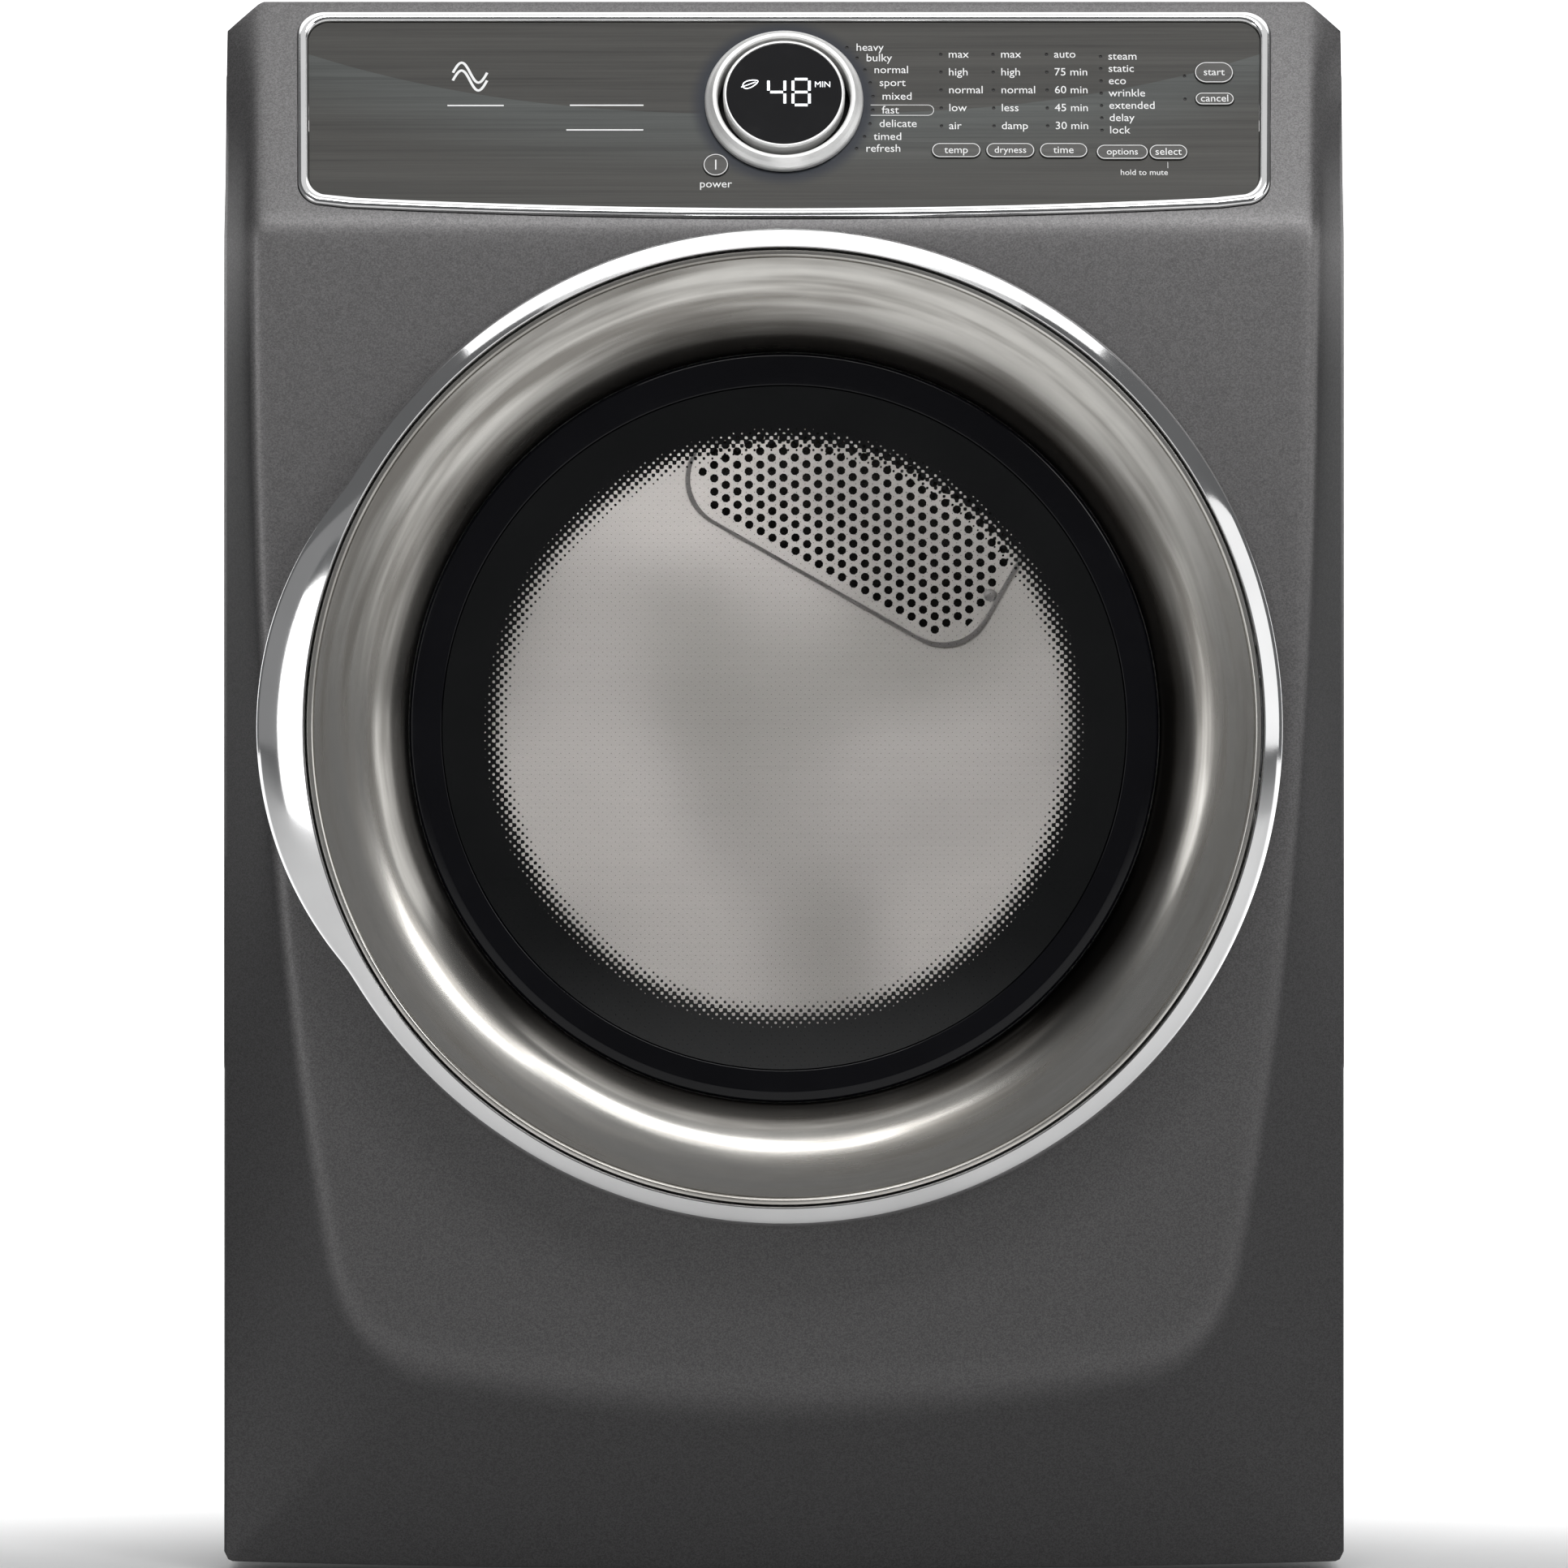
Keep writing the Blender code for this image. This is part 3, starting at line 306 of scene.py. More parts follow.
def cut(obj, mesh):
    """Cuts a mesh's shape out of a piece."""
    tool = placed(mesh)
    boolean = obj.modifiers.new("cut", "BOOLEAN")
    boolean.object = tool
    boolean.solver = "EXACT"
    graph = bpy.context.evaluated_depsgraph_get()
    result = bpy.data.meshes.new_from_object(obj.evaluated_get(graph))
    obj.modifiers.clear()
    obj.data = result
    bpy.data.objects.remove(tool)
    bpy.data.meshes.remove(mesh)


def box_mesh(name, low, high, matrix):
    bm = bmesh.new()
    bmesh.ops.create_cube(bm, size=1)
    for vert in bm.verts:
        vert.co = [blend(a, b, c + 0.5) for a, b, c in zip(low, high, vert.co)]
    return mesh_from(bm, name, matrix)


# ---- materials


class Finish:
    """One procedural material: a shader, object coordinates and short names for the nodes."""

    def __init__(self, name, roughness, metallic=0.0, **constants):
        self.material = bpy.data.materials.new(name)
        self.material.use_nodes = True
        self.nodes = self.material.node_tree.nodes
        self.links = self.material.node_tree.links
        self.shader = self.nodes["Principled BSDF"]
        self.shader.inputs["Roughness"].default_value = roughness
        self.shader.inputs["Metallic"].default_value = metallic
        for socket, value in constants.items():
            self.shader.inputs[socket.replace("_", " ")].default_value = value
        # object coordinates: metres in the frame
        self.here = self.nodes.new("ShaderNodeTexCoord").outputs["Object"]
        split = self.nodes.new("ShaderNodeSeparateXYZ")
        self.links.new(self.here, split.inputs[0])
        self.x, self.y, self.z = split.outputs

    def feed(self, socket, value):
        if isinstance(value, bpy.types.NodeSocket):
            self.links.new(value, socket)
        elif socket.type == "RGBA" and len(value) == 3:
            socket.default_value = (*value, 1)
        else:
            socket.default_value = value

    def math(self, operation, *values):
        node = self.nodes.new("ShaderNodeMath")
        node.operation = operation
        for socket, value in zip(node.inputs, values):
            self.feed(socket, value)
        return node.outputs[0]

    def stretched(self, stretch):
        node = self.nodes.new("ShaderNodeMapping")
        node.inputs["Scale"].default_value = stretch
        self.links.new(self.here, node.inputs[0])
        return node.outputs[0]

    def joined(self, values):
        node = self.nodes.new("ShaderNodeCombineXYZ")
        for socket, value in zip(node.inputs, values):
            self.feed(socket, value)
        return node.outputs[0]

    def noise(self, scale, stretch=(1, 1, 1), detail=3.0, roughness=0.55, at=None):
        node = self.nodes.new("ShaderNodeTexNoise")
        node.inputs["Scale"].default_value = scale
        node.inputs["Detail"].default_value = detail
        node.inputs["Roughness"].default_value = roughness
        self.links.new(self.joined(at) if at else self.stretched(stretch), node.inputs["Vector"])
        return node.outputs["Fac"]

    def cells(self, scale):
        """A random level for each cell of a crystal pattern."""
        node = self.nodes.new("ShaderNodeTexVoronoi")
        node.inputs["Scale"].default_value = scale
        self.links.new(self.here, node.inputs["Vector"])
        split = self.nodes.new("ShaderNodeSeparateColor")
        self.links.new(node.outputs["Color"], split.inputs[0])
        return split.outputs[0]

    def span(self, value, low, high, to_low=0.0, to_high=1.0, eased=False):
        """The value's place between low and high, carried over to between to_low and to_high."""
        node = self.nodes.new("ShaderNodeMapRange")
        node.interpolation_type = "SMOOTHSTEP" if eased else "LINEAR"
        for socket, number in zip(node.inputs, (value, low, high, to_low, to_high)):
            self.feed(socket, number)
        return node.outputs[0]

    def mix(self, share, a, b, kind="MIX"):
        node = self.nodes.new("ShaderNodeMix")
        node.data_type = "RGBA"
        node.blend_type = kind
        self.feed(node.inputs[0], share)
        self.feed(node.inputs[6], a)
        self.feed(node.inputs[7], b)
        return node.outputs[2]

    def times(self, a, b):
        return self.mix(1.0, a, b, "MULTIPLY")

    def radius(self, centre_z, squash=1.0):
        """The distance in the front view from a point of the middle plane; squash undoes a tilt."""
        up = self.math("DIVIDE", self.math("SUBTRACT", self.z, centre_z), squash)
        squares = self.math("MULTIPLY", up, up)
        return self.math("SQRT", self.math("MULTIPLY_ADD", self.x, self.x, squares))

    def colour(self, value):
        self.feed(self.shader.inputs["Base Color"], value)

    def gloss(self, value):
        self.feed(self.shader.inputs["Roughness"], value)

    def bump(self, height, strength, distance):
        node = self.nodes.new("ShaderNodeBump")
        node.inputs["Strength"].default_value = strength
        node.inputs["Distance"].default_value = distance
        self.links.new(height, node.inputs["Height"])
        old = self.shader.inputs["Normal"].links
        if old:
            self.links.new(old[0].from_socket, node.inputs["Normal"])
        self.links.new(node.outputs[0], self.shader.inputs["Normal"])


def shades(colour, spread):
    """The colour a little darker and a little lighter."""
    return tuple(c * (1 - spread) for c in colour), tuple(c * (1 + spread) for c in colour)


def painted_metal(name, colour, shaded_low_colour, painted_shade_colour):
    """Metallic paint: flakes of unequal brightness under a thin clear coat; painted shade darkens it low
    down, in the recesses and on the sloping face above the crease.
    """
    roughness = 0.42
    finish = Finish(name, roughness, 0.80, Coat_Weight=0.15, Coat_Roughness=0.25)
    flakes = finish.cells(1500)
    grain = finish.noise(420, detail=5.0, roughness=0.8)
    # painted light: lighter towards the top and darker low down, as light falling from above would leave it
    height = finish.span(finish.z, 0.15, HEIGHT, eased=True)
    base = finish.mix(height, shaded_low_colour, colour)
    # painted shade: the recessed surround below the crease is darkened towards the shade colour
    recess_shade = finish.span(finish.y, -PANEL_FRONT + 0.0006, -PANEL_FRONT + 0.0050, eased=True)
    below = finish.span(finish.z, CREASE_Z - 0.10, CREASE_Z + 0.02, 1.0, 0.0, eased=True)
    base = finish.mix(finish.math("MULTIPLY", recess_shade, below), base, painted_shade_colour)
    # painted shade: the sloping face above the crease is darkened half way to the shade colour
    slope_shade = finish.span(finish.z, CREASE_Z - 0.012, CREASE_Z + 0.012, 0.0, 0.5, eased=True)
    base = finish.mix(slope_shade, base, painted_shade_colour)
    dark, light = shades((1, 1, 1), 0.20)
    speck = finish.mix(finish.span(flakes, 0.1, 0.9), dark, light)
    finish.colour(finish.times(base, speck))
    finish.gloss(finish.span(grain, 0.3, 0.7, roughness - 0.05, roughness + 0.07))
    finish.bump(grain, 0.25, 0.0002)
    finish.bump(finish.noise(55, detail=2.0), 0.10, 0.0006)
    return finish.material


def polished(name, colour, roughness):
    """Bright plating: almost a mirror, with faint cloudy smudges and tiny polishing lines."""
    finish = Finish(name, roughness, 1.0)
    cloud = finish.noise(14, detail=4.0)
    dark, light = shades(colour, 0.05)
    finish.colour(finish.mix(finish.span(cloud, 0.3, 0.7), dark, light))
    finish.gloss(finish.span(cloud, 0.35, 0.75, roughness, roughness + 0.05))
    finish.bump(finish.noise(700, detail=2.0), 0.04, 0.0001)
    return finish.material


def brushed(name, colour, roughness, stretch, spread, strength, metallic=1.0):
    """Metal with fine parallel brush lines along the least stretched direction."""
    finish = Finish(name, roughness, metallic)
    lines = finish.noise(1.0, stretch, detail=6.0, roughness=0.75)
    cloud = finish.noise(9)
    dark, light = shades(colour, spread)
    share = finish.math("ADD", finish.math("MULTIPLY", lines, 0.75), finish.math("MULTIPLY", cloud, 0.25))
    finish.colour(finish.mix(finish.span(share, 0.34, 0.66), dark, light))
    finish.gloss(finish.span(lines, 0.3, 0.7, roughness - 0.05, roughness + 0.08))
    finish.bump(lines, strength, 0.0002)
    return finish.material


def moulded(name, colour, roughness, texture=260, strength=0.20, spread=0.06, **constants):
    """Injection-moulded plastic: a fine spark-eroded texture and soft, uneven gloss."""
    finish = Finish(name, roughness, **constants)
    grain = finish.noise(texture, detail=4.0, roughness=0.7)
    cloud = finish.noise(7)
    dark, light = shades(colour, spread)
    finish.colour(finish.mix(finish.span(cloud, 0.3, 0.7), dark, light))
    finish.gloss(finish.span(grain, 0.3, 0.7, roughness - 0.06, roughness + 0.08))
    finish.bump(grain, strength, 0.0003)
    return finish.material


def spangled_zinc(name, dark, light):
    """Galvanised sheet: large pale crystals of slightly different tone and gloss, and rolling lines."""
    finish = Finish(name, 0.42, 0.9)
    crystals = finish.cells(150)
    fine = finish.noise(140, detail=4.0)
    share = finish.math("ADD", finish.math("MULTIPLY", crystals, 0.7), finish.math("MULTIPLY", fine, 0.3))
    finish.colour(finish.mix(share, dark, light))
    finish.gloss(finish.span(crystals, 0.0, 1.0, 0.32, 0.52))
    finish.bump(finish.noise(1.0, (12, 500, 500), detail=2.0), 0.10, 0.0002)
    return finish.material


def drum_sheet(name, stretch):
    """Satin stainless sheet with long rolling lines, and broad paler drifts that are painted highlights."""
    finish = Finish(name, 0.42, 0.35)
    lines = finish.noise(1.0, stretch, detail=6.0, roughness=0.75)
    # painted highlights: broad soft patches of paler colour across the sheet
    painted_sheen = finish.span(finish.noise(4.2, detail=1.0), 0.38, 0.62, eased=True)
    base = finish.mix(painted_sheen, (0.43, 0.428, 0.422), (0.72, 0.715, 0.705))
    finish.colour(finish.times(base, finish.mix(lines, (0.92, 0.92, 0.92), (1.08, 1.08, 1.08))))
    finish.gloss(finish.span(lines, 0.3, 0.7, 0.36, 0.5))
    finish.bump(lines, 0.10, 0.0002)
    return finish.material


def smoked_chrome_painted_light():
    """The dish's plating: satin and pale outside, with painted highlight arcs, and painted shade sinking to
    nearly black beside the window.
    """
    finish = Finish("smoked_satin_chrome", 0.2, 1.0)
    away = finish.radius(DOOR_Z)
    cloud = finish.noise(5)
    spun = finish.noise(1.0, (60, 900, 60))
    across = finish.math("DIVIDE", finish.x, away)
    rise = finish.math("DIVIDE", finish.math("SUBTRACT", finish.z, DOOR_Z), away)
    # painted highlights: paler, glossier arcs running round the dish
    painted_highlight_arcs = finish.noise(1.0, at=(across, rise, finish.math("MULTIPLY", away, 75)))
    painted_highlight_arcs = finish.span(painted_highlight_arcs, 0.34, 0.66, eased=True)
    # painted shade: nearly black beside the window, reaching further out on the right, with a ragged edge
    lean = finish.math("SUBTRACT", away, finish.math("MULTIPLY_ADD", across, 0.006, 0.011))
    wide = finish.math("MULTIPLY_ADD", cloud, 0.022, lean)
    window_shade = finish.span(wide, WINDOW_RADIUS + 0.002, WINDOW_RADIUS + 0.040, eased=True)
    rim = finish.span(away, STEP_RADIUS + 0.0009, STEP_RADIUS + 0.0016, 1.0, 0.0)
    outer = finish.mix(painted_highlight_arcs, (0.34, 0.323, 0.297), (0.84, 0.82, 0.775))
    shade = finish.mix(window_shade, (0.030, 0.027, 0.024), outer)
    tool_marks = finish.math("MULTIPLY", rim, spun)
    finish.colour(finish.times(shade, finish.mix(tool_marks, (1.1, 1.1, 1.1), (0.94, 0.94, 0.94))))
    finish.gloss(finish.span(painted_highlight_arcs, 0.0, 1.0, 0.30, 0.17))
    finish.bump(spun, 0.04, 0.0001)
    return finish.material


def cast_rubber():
    """Matt rubber with a grey bloom in its pores."""
    finish = Finish("cured_rubber", 0.78)
    pores = finish.noise(600)
    bloom = finish.noise(20, detail=4.0)
    finish.colour(finish.mix(finish.span(bloom, 0.4, 0.8), (0.012, 0.012, 0.013), (0.032, 0.032, 0.034)))
    finish.bump(pores, 0.3, 0.0003)
    return finish.material


def clear_glass(name):
    """Thin glass with no bending of what is seen through it, clear but for what it reflects."""
    finish = Finish(name, 0.02)
    smears = finish.noise(11, detail=5.0)
    share = finish.span(smears, 0.4, 0.7)
    finish.colour(finish.mix(share, (0.0035, 0.0038, 0.0040), (0.0055, 0.0058, 0.0060)))
    finish.gloss(finish.span(smears, 0.35, 0.75, 0.01, 0.05))
    return finish


def see_through(finish, coverage, tint=(0.955, 0.945, 0.94)):
    """Lets what is behind show wherever the coverage is low; reflections stay everywhere."""
    clear = finish.nodes.new("ShaderNodeBsdfTransparent")
    clear.inputs["Color"].default_value = (*tint, 1)
    mixer = finish.nodes.new("ShaderNodeMixShader")
    fresnel = finish.nodes.new("ShaderNodeFresnel")
    fresnel.inputs["IOR"].default_value = 1.45
    cover = finish.math("MAXIMUM", fresnel.outputs[0], coverage)
    finish.links.new(cover, mixer.inputs[0])
    finish.links.new(clear.outputs[0], mixer.inputs[1])
    finish.links.new(finish.shader.outputs[0], mixer.inputs[2])
    output = finish.nodes["Material Output"]
    finish.links.new(mixer.outputs[0], output.inputs["Surface"])
    return finish.material


def printed_pane():
    """The window pane: a black printed border that breaks up into a halftone of dots."""
    finish = clear_glass("window_pane")
    away = finish.radius(DOOR_Z)
    period = 2 * math.pi / DOT_PITCH
    diagonal = math.sqrt(0.5) * period
    rising = finish.math("MULTIPLY", finish.math("ADD", finish.x, finish.z), diagonal)
    falling = finish.math("MULTIPLY", finish.math("SUBTRACT", finish.x, finish.z), diagonal)
    dots = finish.math("ADD", finish.math("COSINE", rising), finish.math("COSINE", falling))
    level = finish.span(away, DOTS_INNER, FRIT_INNER, 2.0, -2.0)
    printed = finish.span(finish.math("SUBTRACT", dots, level), -0.15, 0.15)
    return see_through(finish, printed)


def emissive(name, colour, strength, roughness=0.4):
    """Lit or white print: a matt ink with a slight unevenness, glowing at the given strength; on the white
    print that glow is painted light.
    """
    finish = Finish(name, roughness)
    cloud = finish.noise(300, detail=2.0)
    dark, light = shades(colour, 0.04)
    finish.colour(finish.mix(cloud, dark, light))
    finish.shader.inputs["Emission Color"].default_value = (*colour, 1)
    finish.shader.inputs["Emission Strength"].default_value = strength
    finish.bump(cloud, 0.05, 0.0001)
    return finish.material


def fascia_metal():
    """Dark brushed console: a paler painted reflection low down, and a blue-black painted shadow round the
    dial.
    """
    finish = Finish("fascia_brushed", 0.34, 0.62, Coat_Weight=0.18, Coat_Roughness=0.12)
    lines = finish.noise(1.0, (5, 620, 620), detail=6.0, roughness=0.75)
    streaks = finish.noise(1.0, (1.6, 150, 150))
    # painted reflection: a paler band under a curve that rises towards the sides, fading downwards
    up = finish.math("DIVIDE", finish.math("SUBTRACT", finish.z, DIAL_Z), math.cos(SLOPE))
    size = finish.math("POWER", finish.math("ABSOLUTE", finish.x), PAINTED_REFLECTION_POWER)
    reflection_edge = finish.math("MULTIPLY_ADD", size, PAINTED_REFLECTION_RISE, PAINTED_REFLECTION_LOW)
    below = finish.math("SUBTRACT", reflection_edge, up)
    inside = finish.span(below, 0.0, 0.0004)
    fade = finish.span(below, 0.0, PAINTED_REFLECTION_FADE, 1.0, 0.0, eased=True)
    pale = finish.math("MULTIPLY", inside, fade)
    base = finish.mix(pale, (0.045, 0.044, 0.041), (0.062, 0.066, 0.064))
    grain = finish.math("ADD", finish.math("MULTIPLY", lines, 0.6), finish.math("MULTIPLY", streaks, 0.4))
    shade = finish.mix(finish.span(grain, 0.36, 0.64), (0.74, 0.74, 0.74), (1.26, 1.26, 1.25))
    # painted shadow: a blue-black ring darkening the fascia just round the dial
    away = finish.radius(DIAL_Z, math.cos(SLOPE))
    dial_shadow = finish.span(away, DIAL_OUTER + 0.0015, DIAL_OUTER + 0.0110, 0.9, 0.0, eased=True)
    finish.colour(finish.mix(dial_shadow, finish.times(base, shade), (0.020, 0.023, 0.031)))
    finish.gloss(finish.span(lines, 0.3, 0.7, 0.28, 0.44))
    finish.bump(lines, 0.20, 0.0002)
    return finish.material


# the front paint: its colour high up, then its darker low and recess colours, which are painted shade
PAINT = painted_metal(
    "paint_titanium", (0.228, 0.223, 0.224), (0.122, 0.119, 0.120), (0.062, 0.061, 0.062)
)
# a much darker copy of the same paint for the sides and top, standing in for their shade
PAINT_SIDE_SHADED = painted_metal(
    "paint_titanium_side", (0.075, 0.075, 0.077), (0.066, 0.066, 0.068), (0.062, 0.062, 0.064)
)
CHROME = polished("plated_chrome", (0.86, 0.86, 0.86), 0.06)
DISH_CHROME = smoked_chrome_painted_light()
SILVER = brushed("satin_silver_turned", (0.88, 0.88, 0.87), 0.34, (160, 900, 900), 0.05, 0.08, 0.55)
FASCIA = fascia_metal()
KEY_FACE = brushed("key_face_brushed", (0.075, 0.074, 0.071), 0.32, (5, 620, 620), 0.2, 0.2, 0.6)
BLACK_GLOSS = moulded("piano_black", (0.0035, 0.0035, 0.0048), 0.08, 40, 0.01, 0.2, Specular_IOR_Level=0.28)
BLACK_PLASTIC = moulded("moulded_black", (0.020, 0.020, 0.022), 0.5)
PALE_PLASTIC = moulded("moulded_pale_grey", (0.60, 0.60, 0.585), 0.42)
GLASS = printed_pane()
BOWL_GLASS = see_through(clear_glass("bowl_glass"), 0.02, (0.985, 0.975, 0.97))
STAINLESS = drum_sheet("drum_sheet", (420, 6, 420))
STAINLESS_FLAT = drum_sheet("rear_wall_sheet", (6, 420, 420))
STEEL = brushed("zinc_plated_steel", (0.50, 0.505, 0.52), 0.30, (90, 90, 260), 0.12, 0.15)
ZINC = spangled_zinc("zinc_spangle", (0.25, 0.255, 0.265), (0.37, 0.375, 0.39))
# a near-black copy of the zinc finish for the heater housing: painted shade seen through the grille holes
ZINC_PAINTED_SHADE = spangled_zinc("heat_darkened_sheet", (0.020, 0.019, 0.018), (0.045, 0.042, 0.040))
RUBBER = cast_rubber()
# the white print glows faintly though it is no lamp: painted light
WHITE_INK = emissive("white_print", (0.80, 0.80, 0.80), 0.12)
LIT_SEGMENT = emissive("lit_segment", (0.92, 0.96, 1.0), 0.9)
DARK_WELL = emissive("indicator_well", (0.010, 0.009, 0.009), 0.0, 0.25)

# ---- painted shell


def panel_top(x):
    """The sheet's upper edge: level, falling at the cut corners."""
    beyond = max(0.0, abs(x) - (HALF_WIDTH - CORNER_CUT))
    return HEIGHT - CORNER_DROP * beyond / CORNER_CUT


def panel_low(x):
    """The sheet's lower edge: level, with small rounded corners."""
    radius = 0.006
    beyond = max(0.0, abs(x) - (HALF_WIDTH - radius))
    return PANEL_BOTTOM + 0.003 * (x / HALF_WIDTH) ** 2 + radius - math.sqrt(max(0.0, radius**2 - beyond**2))


def panel_forward(x, z):
    """How far forward the painted face is: a raised plateau with soft edges, receding to its rim."""
    face = PANEL_FRONT - math.tan(SLOPE) * (soft_ramp(z - CREASE_Z, CREASE_SOFT) - CREASE_SOFT * 0.02)
    fall = min(1.0, (HEIGHT - 0.005 - z) / PLATEAU_LENGTH)
    half = PLATEAU_TOP_HALF - PLATEAU_TAPER * fall**3
    side = abs(x) - half
    bottom = PLATEAU_BOTTOM + PLATEAU_SAG * (x / PLATEAU_SAG_HALF) ** 2 - z
    corner = PLATEAU_CORNER
    beyond = math.hypot(max(side + corner, 0), max(bottom + corner, 0)) - corner
    beyond = soft_ramp(beyond, PLATEAU_SOFT)
    to_edge = max(0.0, min(HALF_WIDTH - abs(x), z - PANEL_BOTTOM))
    share = beyond / (beyond + to_edge)
    recess = EDGE_RECESS + SIDE_RECESS * (x / HALF_WIDTH) ** 2
    recess *= 1 - 0.8 * smooth((z - CREASE_Z) / (HEIGHT - CREASE_Z))
    return min(PANEL_FRONT, face - share * recess)


def stations(count, low, high, crowding=0.45):
    """Values from low to high, closer together at both ends."""
    values = []
    for i in range(count + 1):
        t = 2 * i / count - 1
        t = blend(t, math.sin(t * math.pi / 2), crowding)
        values.append(blend(low, high, (t + 1) / 2))
    return values


def make_front_panel():
    """One pressed sheet with turned-back edges, cut out for the throat, the latch and the console."""
    columns = stations(150, -HALF_WIDTH, HALF_WIDTH)
    shares = stations(220, 0.0, 1.0, 0.3)
    bm = bmesh.new()
    grid = []
    for x in columns:
        low, top = panel_low(x), panel_top(x)
        heights = [blend(low, top, share) for share in shares]
        grid.append([bm.verts.new((x, z, panel_forward(x, z))) for z in heights])
    for left, right in zip(grid, grid[1:]):
        for j in range(len(shares) - 1):
            bm.faces.new((left[j], right[j], right[j + 1], left[j + 1]))
    rim = [edge for edge in bm.edges if edge.is_boundary]
    turned_back = bmesh.ops.extrude_edge_only(bm, edges=rim)["geom"]
    for vert in turned_back:
        if isinstance(vert, bmesh.types.BMVert):
            vert.co.z = PANEL_BACK
    mesh = mesh_from(bm, "front_panel_shell", FRONT_VIEW)
    if mesh.polygons[len(mesh.polygons) // 2].normal.y > 0:
        mesh.flip_normals()
    panel = piece(mesh, PAINT, "cabinet", ["front_panel"])
    bevel = soft_edges(panel, 0.0022, 3, 50)
    bevel.harden_normals = False
    wall = panel.modifiers.new("sheet", "SOLIDIFY")
    wall.thickness = PANEL_THICK
    wall.offset = -1
    hole = THROAT_HOLE
    cut(panel, lathe("throat_hole", [(0, 0.300), (hole, 0.300), (hole, 0.400), (0, 0.400)]))
    cut(panel, box_mesh("strike_slot", (-0.268, 0.480, 0.320), (-0.246, 0.554, 0.360), FRONT_VIEW))
    cut(panel, flat_plate("console_hole", [trim_outline(-0.0004)], -0.040, 0.030, CONSOLE))
    panel.data.shade_smooth()
    panel.data.set_sharp_from_angle(angle=math.radians(40))


def trim_outline(inset):
    """The console's outline, with a gently sagging lower edge."""
    steps = 10
    half = TRIM_HALF - inset
    top = TRIM_TOP - inset
    low = -TRIM_BOTTOM + TRIM_SAG + inset
    corner = 0.016 - inset / 2
    points = arc(corner, 90, 180, steps, (-half + corner, top - corner))
    points += arc(corner, 180, 255, steps, (-half + corner + 0.003, low + corner))
    for i in range(1, 40):
        x = (i / 20 - 1) * (half - 0.020)
        points.append((x, low - TRIM_SAG * (1 - (x / half) ** 2)))
    points += arc(corner, 285, 360, steps, (half - corner - 0.003, low + corner))
    points += arc(corner, 0, 90, steps, (half - corner, top - corner))
    return points


# ---- console

# name, centre x and y in the console's plane, width, height, printed word
KEYS = (
    ("power_key", -0.0416, -0.0437, 0.0154, 0.0154, ""),
    ("temp_key", 0.1051, -0.0336, 0.0300, 0.0103, "temp"),
    ("dryness_key", 0.1381, -0.0336, 0.0297, 0.0103, "dryness"),
    ("time_key", 0.1706, -0.0336, 0.0293, 0.0103, "time"),
    ("options_key", 0.2064, -0.0348, 0.0315, 0.0103, "options"),
    ("select_key", 0.2345, -0.0348, 0.0235, 0.0103, "select"),
    ("start_key", 0.2636, 0.0207, 0.0238, 0.0147, "start"),
    ("cancel_key", 0.2636, 0.0023, 0.0238, 0.0087, "cancel"),
)
PRINT_THICK = 0.00008
TEXT_SIZE = 0.0075


def lettering(words, out):
    """Plain printed words and marks in one mesh; each entry is (text, x, y, size, align)."""
    bm = bmesh.new()
    for text, x, y, size, align in words:
        curve = bpy.data.curves.new("word", "FONT")
        curve.body = text
        curve.size = size
        curve.align_x = align
        curve.align_y = "CENTER"
        curve.extrude = PRINT_THICK / 2
        curve.resolution_u = 3
        holder = bpy.data.objects.new("word", curve)
        mesh = bpy.data.meshes.new_from_object(holder)
        mesh.transform(Matrix.Translation((x, y, out + PRINT_THICK / 2)))
        bm.from_mesh(mesh)
        bpy.data.objects.remove(holder)
        bpy.data.curves.remove(curve)
        bpy.data.meshes.remove(mesh)
    return bm


def add_stroke(bm, points, width, out, closed=False):
    """A printed line of even width along points."""
    count = len(points)
    sides = []
    for i, point in enumerate(points):
        before = Vector(points[i - 1] if i or closed else points[0])
        after = Vector(points[(i + 1) % count] if i + 1 < count or closed else points[-1])
        run = (after - before).normalized()
        normal = Vector((-run.y, run.x)) * width / 2
        here = Vector(point)
        pair = [here + normal, here - normal]
        levels = (out, out + PRINT_THICK)
        sides.append([bm.verts.new((p.x, p.y, level)) for level in levels for p in pair])
    for i in range(count if closed else count - 1):
        a, b = sides[i], sides[(i + 1) % count]
        for j, k in ((0, 1), (1, 3), (3, 2), (2, 0)):
            bm.faces.new((a[j], a[k], b[k], b[j]))
    if not closed:
        for end in (sides[0], sides[-1]):
            bm.faces.new((end[0], end[1], end[3], end[2]))


